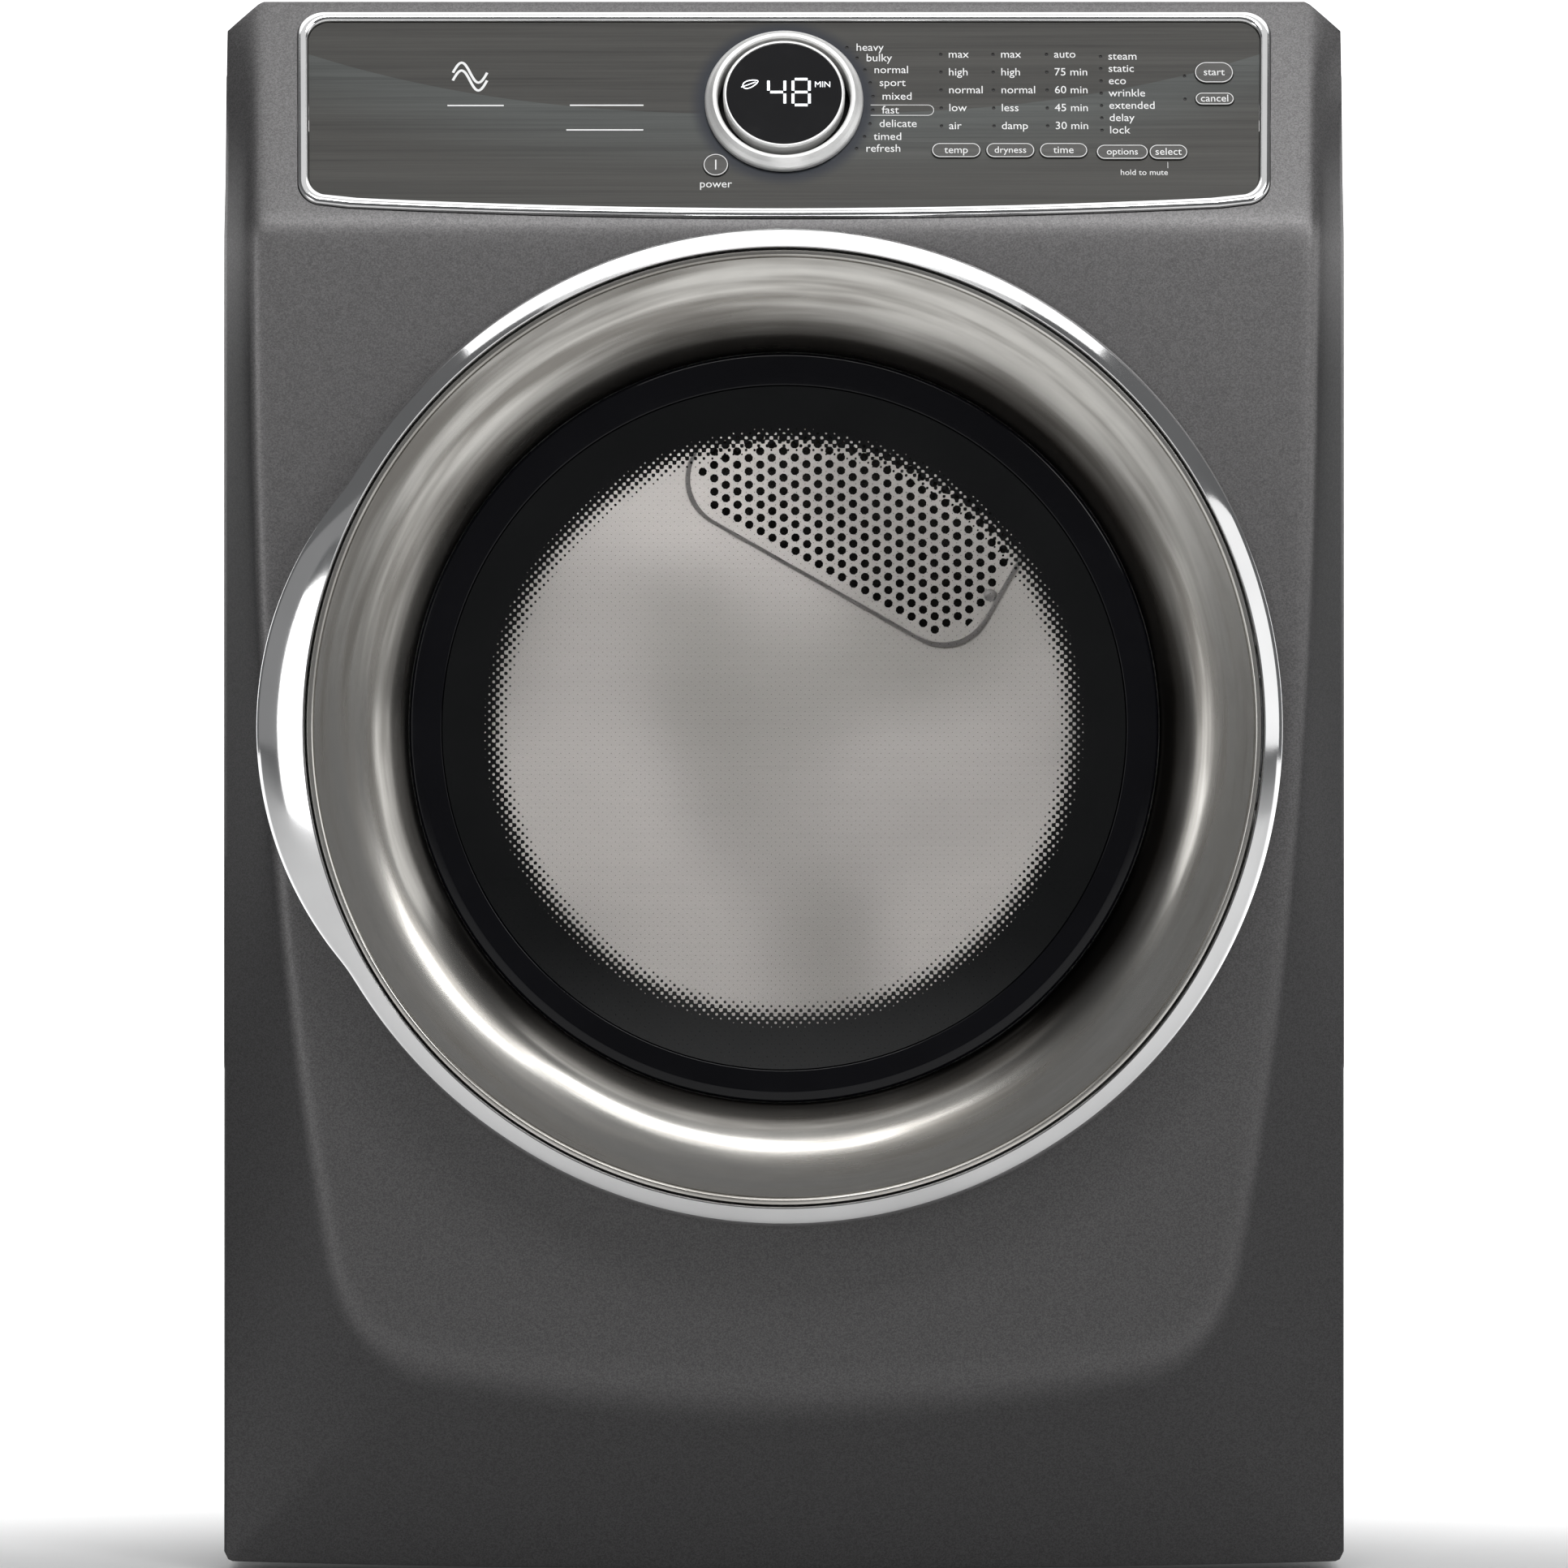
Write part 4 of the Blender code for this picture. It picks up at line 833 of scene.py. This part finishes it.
def make_console_shell():
    """The chrome frame, a bar swept round the console's outline, and the fascia sheet inside it."""
    sections = []
    bar = [(0.0, -0.0030), (0.0, 0.0012), (0.0003, 0.0019), (0.0010, TRIM_OUT - 0.0003), (0.0033, TRIM_OUT)]
    bar += [(0.0053, TRIM_OUT - 0.0003), (0.0061, 0.0018), (TRIM_BAND, 0.0008), (TRIM_BAND, -0.0030)]
    rings = [trim_outline(inset) for inset, _ in bar]
    for i in range(len(rings[0])):
        sections.append([(*ring[i], out) for ring, (_, out) in zip(rings, bar)])
    mesh = loft("console_trim_frame", sections, CONSOLE)
    piece(mesh, CHROME, "cabinet", ["console_trim"], 50)
    holes = [circle(0.0455, 96)] + [pill(x, y, w + 0.0006, h + 0.0006) for _, x, y, w, h, _ in KEYS]
    holes += [circle(INDICATOR_RADIUS, 12, spot) for spot in indicator_spots()]
    outlines = [trim_outline(TRIM_BAND + 0.0003)] + holes
    fascia = flat_plate("console_fascia_sheet", outlines, -0.0025, 0, CONSOLE)
    piece(fascia, FASCIA, "cabinet", ["console_fascia"])


def make_keys():
    """The key caps with their printed words, or a bar on the power key, and an outline."""
    face = KEY_OUT - PRINT_THICK
    for name, x, y, width, height, word in KEYS:
        mesh = flat_plate(name + "_cap", [pill(x, y, width, height)], -KEY_IN, face, CONSOLE)
        cap = piece(mesh, KEY_FACE, name, [name])
        soft_edges(cap, 0.0004, 3)
        inset = 0.0012
        outline = pill(x, y, width - inset, height - inset)
        if word:
            size = 0.0070 if len(word) < 7 else 0.0064
            bm = lettering([(word, x, y, size, "CENTER")], face)
        else:
            bm = bmesh.new()
            add_stroke(bm, [(x, y - 0.0034), (x, y + 0.0034)], 0.0008, face)
        add_stroke(bm, outline, 0.00042, face, closed=True)
        mesh = mesh_from(bm, name + "_print", CONSOLE)
        piece(mesh, WHITE_INK, name)


INDICATOR_RADIUS = 0.0011
COLUMN_TOP = 0.0338
COLUMN_STEP = 0.0125
# lamp x, top row's y, row step, printed words
COLUMNS = (
    (0.0962, COLUMN_TOP, COLUMN_STEP, ("max", "high", "normal", "low", "air")),
    (0.1283, COLUMN_TOP, COLUMN_STEP, ("max", "high", "normal", "less", "damp")),
    (0.1611, COLUMN_TOP, COLUMN_STEP, ("auto", "75 min", "60 min", "45 min", "30 min")),
    (0.1943, 0.0324, 0.0086, ("steam", "static", "eco", "wrinkle", "extended", "delay", "lock")),
)
DIAL_LAMP_RADIUS = 0.0546
CYCLES = ("heavy", "bulky", "normal", "sport", "mixed", "fast", "delicate", "timed", "refresh")
CYCLE_FIRST = 45
CYCLE_STEP = -10.1


def cycle_spot(number):
    """The centre of a cycle's lamp, on a circle round the dial."""
    angle = math.radians(CYCLE_FIRST + CYCLE_STEP * number)
    return DIAL_LAMP_RADIUS * math.cos(angle), DIAL_LAMP_RADIUS * math.sin(angle)


def indicator_spots():
    """Centres of the small lamp holes beside the printed words."""
    spots = [cycle_spot(number) for number in range(len(CYCLES))]
    for x, top, step, words in COLUMNS:
        spots += [(x, top - step * row) for row in range(len(words))]
    return spots + [(0.2455, 0.0187), (0.2455, 0.0025)]


def make_printing():
    words = []
    for number, word in enumerate(CYCLES):
        x, y = cycle_spot(number)
        words.append((word, x + 0.0055, y, TEXT_SIZE, "LEFT"))
    for x, top, step, column in COLUMNS:
        words += [(word, x + 0.0045, top - step * row, TEXT_SIZE, "LEFT") for row, word in enumerate(column)]
    words.append(("power", -0.0416, -0.0566, TEXT_SIZE, "CENTER"))
    words.append(("hold to mute", 0.2195, -0.0486, 0.0055, "CENTER"))
    bm = lettering(words, 0.0)
    middle = cycle_spot(5)
    loop = [(0.0530, middle[1] + 0.0036), (0.0845, middle[1] + 0.0036)]
    loop += arc(0.0036, 90, -90, 12, (0.0880, middle[1]))
    loop += [(0.0845, middle[1] - 0.0036), (0.0530, middle[1] - 0.0036)]
    add_stroke(bm, loop, 0.00035, 0.0)
    add_stroke(bm, [(0.2340, -0.0412), (0.2340, -0.0455)], 0.0003, 0.0)
    badge_lines = ((-0.2060, -0.1715, -0.0020), (-0.1310, -0.0860, -0.0018), (-0.1330, -0.0860, -0.0190))
    for start, end, level in badge_lines:
        add_stroke(bm, [(start, level), (end, level)], 0.0009, 0.0)
    for turn in (0, 1):
        wave = []
        for i in range(25):
            t = i / 24
            wave.append((-0.2030 + 0.0210 * t, 0.0210 + 0.0070 * math.sin(2 * math.pi * t) - 0.0055 * turn))
        add_stroke(bm, wave, 0.0016, 0.0)
    mesh = mesh_from(bm, "console_print", CONSOLE)
    piece(mesh, WHITE_INK, "cabinet")


def make_indicators():
    """The small dark lenses that sit a little below the face in their holes."""
    bm = bmesh.new()
    for x, y in indicator_spots():
        rim = [bm.verts.new((x + dx, y + dy, -0.0006)) for dx, dy in circle(INDICATOR_RADIUS * 0.97, 12)]
        deep = [bm.verts.new((v.co.x, v.co.y, -0.0022)) for v in rim]
        bm.faces.new(rim)
        bm.faces.new(deep[::-1])
        for i in range(len(rim)):
            k = (i + 1) % len(rim)
            bm.faces.new((rim[i], deep[i], deep[k], rim[k]))
    mesh = mesh_from(bm, "indicator_lenses", CONSOLE)
    piece(mesh, DARK_WELL, "cabinet")


def make_dial():
    """The turning ring and, standing still inside it, the display."""
    sleeve = DIAL_INNER + 0.0035
    ring = [(DIAL_INNER, 0.0080), (DIAL_INNER + 0.0008, 0.0092), (DIAL_INNER + 0.0030, 0.0095)]
    ring += [(DIAL_OUTER - 0.0028, 0.0068), (DIAL_OUTER - 0.0008, 0.0050), (DIAL_OUTER, 0.0035)]
    ring += [(DIAL_OUTER, 0.0006), (sleeve, 0.0006), (sleeve, -0.0080), (DIAL_INNER, -0.0080)]
    mesh = lathe("dial_ring_turned", soften(ring, 0.0004, 3), CONSOLE, 128)
    piece(mesh, SILVER, "dial", ["dial_ring"])
    rim, out = DISPLAY_RADIUS, DISPLAY_OUT
    turret = [(0.0352, out), (rim - 0.0008, out), (rim, out - 0.001), (rim, 0.002)]
    turret += [(0.030, -0.004), (0.030, -0.0175), (0.027, -0.0175), (0.027, -0.002)]
    turret += [(0.0352, 0.006)]
    mesh = lathe("display_turret_shell", soften(turret, 0.0004, 3), CONSOLE, 128)
    piece(mesh, SILVER, "cabinet", ["display_turret"])
    lens = [(0, out - 0.0006), (0.0346, out - 0.0006), (0.0349, out - 0.0010), (0.0349, out - 0.0040)]
    lens += [(0, out - 0.0040)]
    mesh = lathe("display_lens_disc", lens, CONSOLE, 96)
    piece(mesh, BLACK_GLOSS, "cabinet", ["display_lens"])


SEGMENTS = {
    "top": ((-1, 2), (1, 2)), "middle": ((-1, 0), (1, 0)), "bottom": ((-1, -2), (1, -2)),
    "upper_left": ((-1, 2), (-1, 0)), "upper_right": ((1, 2), (1, 0)),
    "lower_left": ((-1, 0), (-1, -2)), "lower_right": ((1, 0), (1, -2)),
}
FOUR = ("upper_left", "middle", "upper_right", "lower_right")
EIGHT = tuple(SEGMENTS)


def make_digits():
    """Seven-segment numerals on the display, with a small leaf and a unit mark."""
    out = DISPLAY_OUT - 0.0006
    half_width, half_height, width = 0.0050, 0.0045, 0.0017
    bm = lettering([("MIN", 0.0185, 0.0062, 0.0056, "LEFT")], out)
    for middle, lit in ((-0.0045, FOUR), (0.0105, EIGHT)):
        for name in lit:
            start, end = (Vector((x * half_width, y * half_height)) for x, y in SEGMENTS[name])
            gap = (end - start).normalized() * 0.0011
            line = [start + gap, end - gap]
            add_stroke(bm, [(p.x + middle, p.y + 0.0010) for p in line], width, out)
    leaf = []
    for i in range(24):
        angle = 2 * math.pi * i / 24
        bulge = 0.0023 * (1 - 0.35 * math.cos(angle))
        along, across = 0.0046 * math.cos(angle), bulge * math.sin(angle)
        leaf.append((-0.0205 + along - 0.3 * across, 0.0068 + across + 0.4 * along))
    add_stroke(bm, leaf, 0.0007, out, closed=True)
    add_stroke(bm, [(-0.0262, 0.0044), (-0.0172, 0.0081)], 0.0006, out)
    mesh = mesh_from(bm, "display_digits", CONSOLE)
    piece(mesh, LIT_SEGMENT, "cabinet")


# ---- door


def rim_radius(angle):
    """The chrome ring's outer radius: round, with the handle bulging out on the left."""
    across = BULGE_OFFSET * math.sin(angle)
    reach = BULGE_OFFSET * math.cos(angle) + math.sqrt(BULGE_RADIUS**2 - across**2)
    beyond = reach - DOOR_RADIUS
    return DOOR_RADIUS + (soft_ramp(beyond, 0.0015) if beyond > -0.02 else 0.0)


def ring_section(outer):
    """The chrome ring's section where its rim reaches this radius: a rounded nose, then a plain wall."""
    share = min(1.0, (outer - DOOR_RADIUS) / (BULGE_RADIUS - BULGE_OFFSET - DOOR_RADIUS))
    crest, wall = DOOR_CREST, DOOR_RADIUS
    drop = blend(RING_DROP, RING_DROP * 1.35, share)
    under = blend(crest - 0.0295, crest - 0.0262, share)
    points = [(0.2877, crest - 0.0035), (0.2879, crest - 0.0009), (0.2884, crest - 0.0002)]
    width = outer - CREST_RADIUS
    for i in range(RING_STEPS + 1):
        t = i / RING_STEPS
        radius = CREST_RADIUS + width * (1 - (1 - t) ** 1.5 * (1 + 0.12 * t))
        points.append((radius, crest - drop * (0.62 * (radius - CREST_RADIUS) / width + 0.38 * t**3)))
    points += [(outer, blend(crest - drop, under, 0.8)), (outer - 0.0010, under)]
    points += [(wall, crest - 0.0300), (wall, DOOR_BACK + 0.0006), (wall - 0.0006, DOOR_BACK)]
    points += [(wall - 0.0027, DOOR_BACK), (wall - 0.0027, crest - 0.0300)]
    points += [(wall - 0.0046, crest - 0.0200), (0.2877, crest - 0.0060)]
    return points


def make_door_ring():
    """The chrome ring: its section swept round the door, swelling into the handle on the left."""
    steps = 384
    sections = []
    for i in range(steps):
        angle = 2 * math.pi * i / steps
        section = ring_section(rim_radius(angle))
        sections.append([(r * math.cos(angle), r * math.sin(angle), f) for r, f in section])
    mesh = loft("door_ring_chrome", sections, DOOR_VIEW)
    ring = piece(mesh, CHROME, "door", ["door_ring"], 30)
    cut(ring, hinge_notch("ring_notch"))


def hinge_notch(name):
    low = (HINGE_X - 0.0140, -HINGE_REACH, 0.340)
    high = (HINGE_X + 0.0240, HINGE_REACH, HINGE_FORWARD + 0.008)
    return box_mesh(name, low, high, DOOR_VIEW)


def dish_profile():
    """A narrow step beside the ring, then a bell, gentle outside and steep at the window."""
    lip, sill, steps = 0.3972, 0.3652, 40
    front = [(DISH_OUTER, 0.3935), (DISH_OUTER, 0.3968), (DISH_OUTER - 0.0004, 0.3976)]
    front += [(STEP_RADIUS + 0.0016, 0.3980), (STEP_RADIUS + 0.0010, 0.3978), (STEP_RADIUS, 0.3966)]
    for i in range(steps + 1):
        t = i / steps
        radius = blend(STEP_RADIUS - 0.0006, WINDOW_RADIUS + 0.0006, t)
        front.append((radius, sill + (lip - sill) * (1 - DISH_LEAN * t - (1 - DISH_LEAN) * t**4)))
    back = []
    for i in range(13):
        share = i / 12
        radius, height = front[-1 - round(share * (steps + 4))]
        back.append((min(DISH_OUTER, radius + 0.0022 * (1 - share)), height - 0.0024))
    return front + back


def make_door():
    """The dish, the window with its bezel, the bowl behind it, a black ring round the chrome ring's edge and
    the liner.
    """
    mesh = lathe("door_dish_spun", dish_profile(), steps=256)
    piece(mesh, DISH_CHROME, "door", ["door_dish"], 50)
    rim, inner = WINDOW_RADIUS, GLASS_RADIUS + 0.0004
    bezel = [(inner, 0.3652), (inner + 0.0006, 0.3660), (rim - 0.0060, 0.3664), (rim - 0.0012, 0.3657)]
    bezel += [(rim, 0.3645), (rim, 0.3560), (inner, 0.3560)]
    mesh = lathe("window_bezel_ring", soften(bezel, 0.0005, 3), steps=256)
    piece(mesh, BLACK_GLOSS, "door", ["window_bezel"])
    front = []
    for i in range(25):
        radius = GLASS_RADIUS * i / 24
        front.append((radius, 0.3658 + 0.0042 * (1 - (radius / GLASS_RADIUS) ** 2)))
    pane = front + [(radius, height - 0.0040) for radius, height in reversed(front)]
    mesh = lathe("window_pane_glass", pane)
    piece(mesh, GLASS, "door", ["window_glass"])
    make_bowl()
    # a black ring just outside the chrome ring, giving the door a dark outline
    backing = [(0.3001, 0.3565), (0.3018, 0.3562), (0.3022, 0.3515), (0.3015, 0.3506), (0.3001, 0.3506)]
    backing = soften(backing, 0.0003, 2)
    mesh = lathe("door_back_trim", backing)
    piece(mesh, BLACK_PLASTIC, "door")
    liner = [(0.2130, 0.3500), (0.2920, 0.3500), (0.2920, 0.3470), (0.2165, 0.3470)]
    liner += [(0.2165, 0.3300), (0.2130, 0.3300)]
    mesh = lathe("door_liner_moulding", soften(liner, 0.0012, 4))
    liner = piece(mesh, PALE_PLASTIC, "door", ["door_liner"])
    cut(liner, hinge_notch("liner_notch"))


def make_bowl():
    """The deep inner glass that keeps clothes off the pane."""
    ridge = [(0.0, 0.2790), (0.0800, 0.2800), (0.1450, 0.2835), (0.1700, 0.2900), (0.1860, 0.3050)]
    ridge += [(0.1985, 0.3290), (0.2045, 0.3440), (0.2075, 0.3536), (0.2123, 0.3538)]
    back = [(0.2123, 0.3502), (0.2085, 0.3440), (0.2030, 0.3290), (0.1890, 0.3020), (0.1715, 0.2860)]
    back += [(0.1460, 0.2797), (0.0800, 0.2762), (0.0, 0.2752)]
    mesh = lathe("window_bowl_glass", soften(ridge + back, 0.006, 4), steps=144)
    piece(mesh, BOWL_GLASS, "door", ["window_bowl"])


# ---- drum and rear wall


def make_drum():
    """The drum's beaded shell and its three lifters."""
    inner, outer = DRUM_RADIUS - DRUM_WALL, DRUM_RADIUS
    profile = []
    for i in range(121):
        forward = blend(DRUM_REAR, DRUM_FRONT, i / 120)
        bead = sum(BEAD_RISE * math.exp(-(((forward - at) / BEAD_WIDTH) ** 2)) for at in BEADS)
        profile.append((inner - bead, forward))
    skin = [(outer, forward) for forward in (DRUM_FRONT, DRUM_REAR)]
    mesh = lathe("drum_shell", profile + skin)
    piece(mesh, STAINLESS, "drum", ["drum"])
    for number, angle in enumerate((-90, 30, 150), start=1):
        name = f"drum_lifter_{number}"
        view = DOOR_VIEW @ Matrix.Rotation(math.radians(angle), 4, "Z")
        mesh = flat_plate(name + "_moulding", [lifter_outline()], -0.292, 0.222, view)
        lifter = piece(mesh, PALE_PLASTIC, "drum", [name])
        soft_edges(lifter, 0.0045, 4)


def lifter_outline():
    """A lifter seen end on: a wide foot on the drum wall, narrowing to a round crest."""
    top = DRUM_RADIUS - BAFFLE_HEIGHT
    foot = DRUM_RADIUS - 0.0050
    flank = []
    for i in range(13):
        t = i / 12
        width = blend(0.034, 0.0085, smooth(t) ** 0.75)
        flank.append((blend(foot, top + 0.010, t), width))
    crest = arc(0.0086, 100, 260, 10, (top + 0.0090, 0))
    mirrored = [(x, -y) for x, y in reversed(flank)]
    return [(foot + 0.0012, 0.0)] + flank + crest + mirrored


def grille_outline(grow):
    """A chord segment of the rear wall's circle, with rounded lower corners."""
    low = GRILLE_LOW - grow
    left, right = GRILLE_LEFT - grow, GRILLE_RIGHT + grow
    radius = GRILLE_RADIUS + grow
    corner = 0.034
    points = arc(corner, 180, 270, 10, (left + corner, low + corner))
    points += arc(corner, 270, 360, 10, (right - corner, low + corner))
    start = math.degrees(math.acos(right / radius))
    end = math.degrees(math.acos(left / radius))
    return points + arc(radius, start, end, 24)


def make_grille():
    """The perforated plate over the hot air opening, its holes staggered from row to row."""
    holes = []
    row = 0
    y = GRILLE_LOW + 0.012
    while y < GRILLE_RADIUS - 0.006:
        x = GRILLE_LEFT + 0.012 + GRILLE_PITCH / 2 * (row % 2)
        while x < GRILLE_RIGHT - 0.010:
            beside = min(x - GRILLE_LEFT, GRILLE_RIGHT - x)
            if math.hypot(x, y) < GRILLE_RADIUS - 0.010 and (beside > 0.024 or y > GRILLE_LOW + 0.024):
                holes.append(circle(GRILLE_HOLE, 8, (x, y)))
            x += GRILLE_PITCH
        y += GRILLE_PITCH * math.sqrt(3) / 2
        row += 1
    front = REAR_WALL + 0.0004
    mesh = flat_plate("air_grille_plate", [grille_outline(0.0)] + holes, front, front + 0.0015, GRILLE_VIEW)
    piece(mesh, STAINLESS_FLAT, "cabinet", ["air_grille"])
    outlines = [grille_outline(0.0), grille_outline(-0.0024)]
    mesh = flat_plate("air_grille_rim", outlines, front + 0.0010, front + 0.0042, GRILLE_VIEW)
    rim = piece(mesh, STEEL, "cabinet")
    soft_edges(rim, 0.0009, 3)
    screw = [(0, 0.0036), (0.0022, 0.0034), (0.0042, 0.0022), (0.0046, 0.0006), (0.0046, 0), (0, 0)]
    for x, y in ((GRILLE_RIGHT - 0.007, GRILLE_LOW + 0.052), (GRILLE_LEFT + 0.007, GRILLE_LOW + 0.052)):
        view = GRILLE_VIEW @ Matrix.Translation((x, y, front + 0.0015))
        side = "right" if x > 0 else "left"
        mesh = lathe(f"grille_screw_{side}", screw, view, 24)
        piece(mesh, STEEL, "cabinet")


# ---- parts kept from the frame

CARRIED = (
    (PAINT_SIDE_SHADED, ("side_panel_left", "side_panel_right", "top_panel"), 0.0015),
    (ZINC, ("base_pan", "rear_panel", "exhaust_duct"), 0.0006),
    # the heater housing wears the near-black zinc, painted shade behind the grille
    (ZINC_PAINTED_SHADE, ("heater_housing",), 0.0006),
    (BLACK_PLASTIC, ("terminal_cover", "console_housing", "door_latch", "lint_screen"), 0.0008),
    (BLACK_PLASTIC, ("foot_front_left", "foot_front_right", "foot_rear_left", "foot_rear_right"), 0.0010),
    (PALE_PLASTIC, ("front_bulkhead", "throat_ring", "lint_duct", "blower_housing"), 0.0006),
    (PALE_PLASTIC, ("blower_wheel", "idler_pulley"), 0.0005),
    (RUBBER, ("door_gasket", "drive_belt", "drum_roller_left", "drum_roller_right"), 0.0006),
    (STEEL, ("door_strike", "hinge_leaf", "hinge_bracket", "motor_body", "idler_arm"), 0.0005),
    (STEEL, ("motor_cradle", "motor_rotor", "roller_shaft_left", "roller_shaft_right"), 0.0005),
    (STAINLESS_FLAT, ("rear_bulkhead",), 0.0004),
)


def finish_carried():
    """Gives the CAD parts that keep their own shape a finish and softened edges."""
    for material, names, width in CARRIED:
        for name in names:
            node = NODES[name]
            for slot in node.material_slots:
                slot.material = material
            node.data.shade_smooth()
            node.data.set_sharp_from_angle(angle=math.radians(32))
            soft_edges(node, width, 2, 50)


# ---- stage, lights and camera


def studio_paper():
    """Seamless paper: white, with a barely visible tooth, lit up towards the back of the sweep."""
    finish = Finish("studio_paper", 0.9)
    tooth = finish.noise(60, detail=4.0)
    finish.colour(finish.mix(tooth, (0.80, 0.80, 0.80), (0.83, 0.83, 0.83)))
    finish.shader.inputs["Emission Color"].default_value = (1, 1, 1, 1)
    lit = finish.span(finish.y, -0.35, 0.35, eased=True)
    finish.feed(finish.shader.inputs["Emission Strength"], lit)
    finish.bump(tooth, 0.02, 0.0005)
    return finish.material


def make_stage():
    """A seamless sweep: floor, curve and backdrop in one sheet."""
    profile = [(-9.0, 0.0), (8.0, 0.0)] + arc(1.2, -90, 0, 16, (8.0, 1.2)) + [(9.2, 7.0)]
    bm = bmesh.new()
    rows = [[bm.verts.new((side * 9.0, y, z)) for y, z in profile] for side in (-1, 1)]
    for i in range(len(profile) - 1):
        bm.faces.new((rows[0][i], rows[1][i], rows[1][i + 1], rows[0][i + 1]))
    mesh = bpy.data.meshes.new("studio_sweep")
    bm.to_mesh(mesh)
    bm.free()
    mesh.materials.append(studio_paper())
    mesh.shade_smooth()
    placed(mesh)


def area_light(name, at, target, size, power):
    """A rectangular softbox at one point, turned to face another; size in metres, power in watts."""
    light = bpy.data.lights.new(name, "AREA")
    light.shape = "RECTANGLE"
    light.size, light.size_y = size
    light.energy = power
    obj = placed(light)
    obj.location = at
    obj.rotation_euler = (Vector(target) - Vector(at)).to_track_quat("-Z", "Y").to_euler()
    return obj


def make_lights():
    """Large dim softboxes, kept where glossy black parts don't mirror them, and a lit drum."""
    world = bpy.data.worlds.new("studio_air")
    world.use_nodes = True
    background = world.node_tree.nodes["Background"]
    background.inputs["Color"].default_value = (0.97, 0.98, 1.0, 1)
    background.inputs["Strength"].default_value = 0.13
    bpy.context.scene.world = world
    area_light("top_softbox", (0, -0.15, 2.9), (0, -0.15, 0.0), (4.0, 2.3), 38)
    area_light("canopy", (0, -2.2, 3.1), (0, -0.3, 0.8), (3.4, 1.5), 9)
    area_light("front_softbox", (0.4, -3.1, 3.2), (0, -0.3, 0.6), (3.0, 0.8), 46)
    area_light("left_softbox", (-2.9, -1.1, 1.2), (0, -0.4, 0.7), (2.6, 1.6), 1.5)
    area_light("right_softbox", (2.9, -1.1, 1.2), (0, -0.4, 0.7), (2.6, 1.6), 12)
    area_light("right_fill", (1.9, -3.3, 2.0), (0, -0.4, 0.5), (0.9, 0.9), 15)
    area_light("left_fill", (-2.45, -3.1, 0.70), (0, -0.4, 0.5), (1.3, 1.5), 11)
    glow = area_light("drum_glow", (0, -0.262, DOOR_Z + 0.200), (0, 0.30, DOOR_Z - 0.02), (0.20, 0.02), 3.6)
    glow.visible_camera = False
    glow.visible_glossy = False
    glow.parent = frame["bodies"]["cabinet"]


def make_camera():
    data = bpy.data.cameras.new("camera")
    data.lens = 170.1
    data.sensor_width = 36.0
    data.clip_end = 60.0
    camera = placed(data)
    camera.location = (0, -4.844, 0.483)
    camera.rotation_euler = (math.pi / 2, 0, 0)
    bpy.context.scene.camera = camera


# ---- assembly

for item in [o for o in bpy.data.objects if o.name in ("Cube", "Light", "Camera")]:
    bpy.data.objects.remove(item)

make_front_panel()
make_console_shell()
make_keys()
make_printing()
make_indicators()
make_dial()
make_digits()
make_door_ring()
make_door()
make_drum()
make_grille()
finish_carried()
make_stage()
make_lights()
make_camera()
bpy.context.scene.view_settings.view_transform = "Standard"
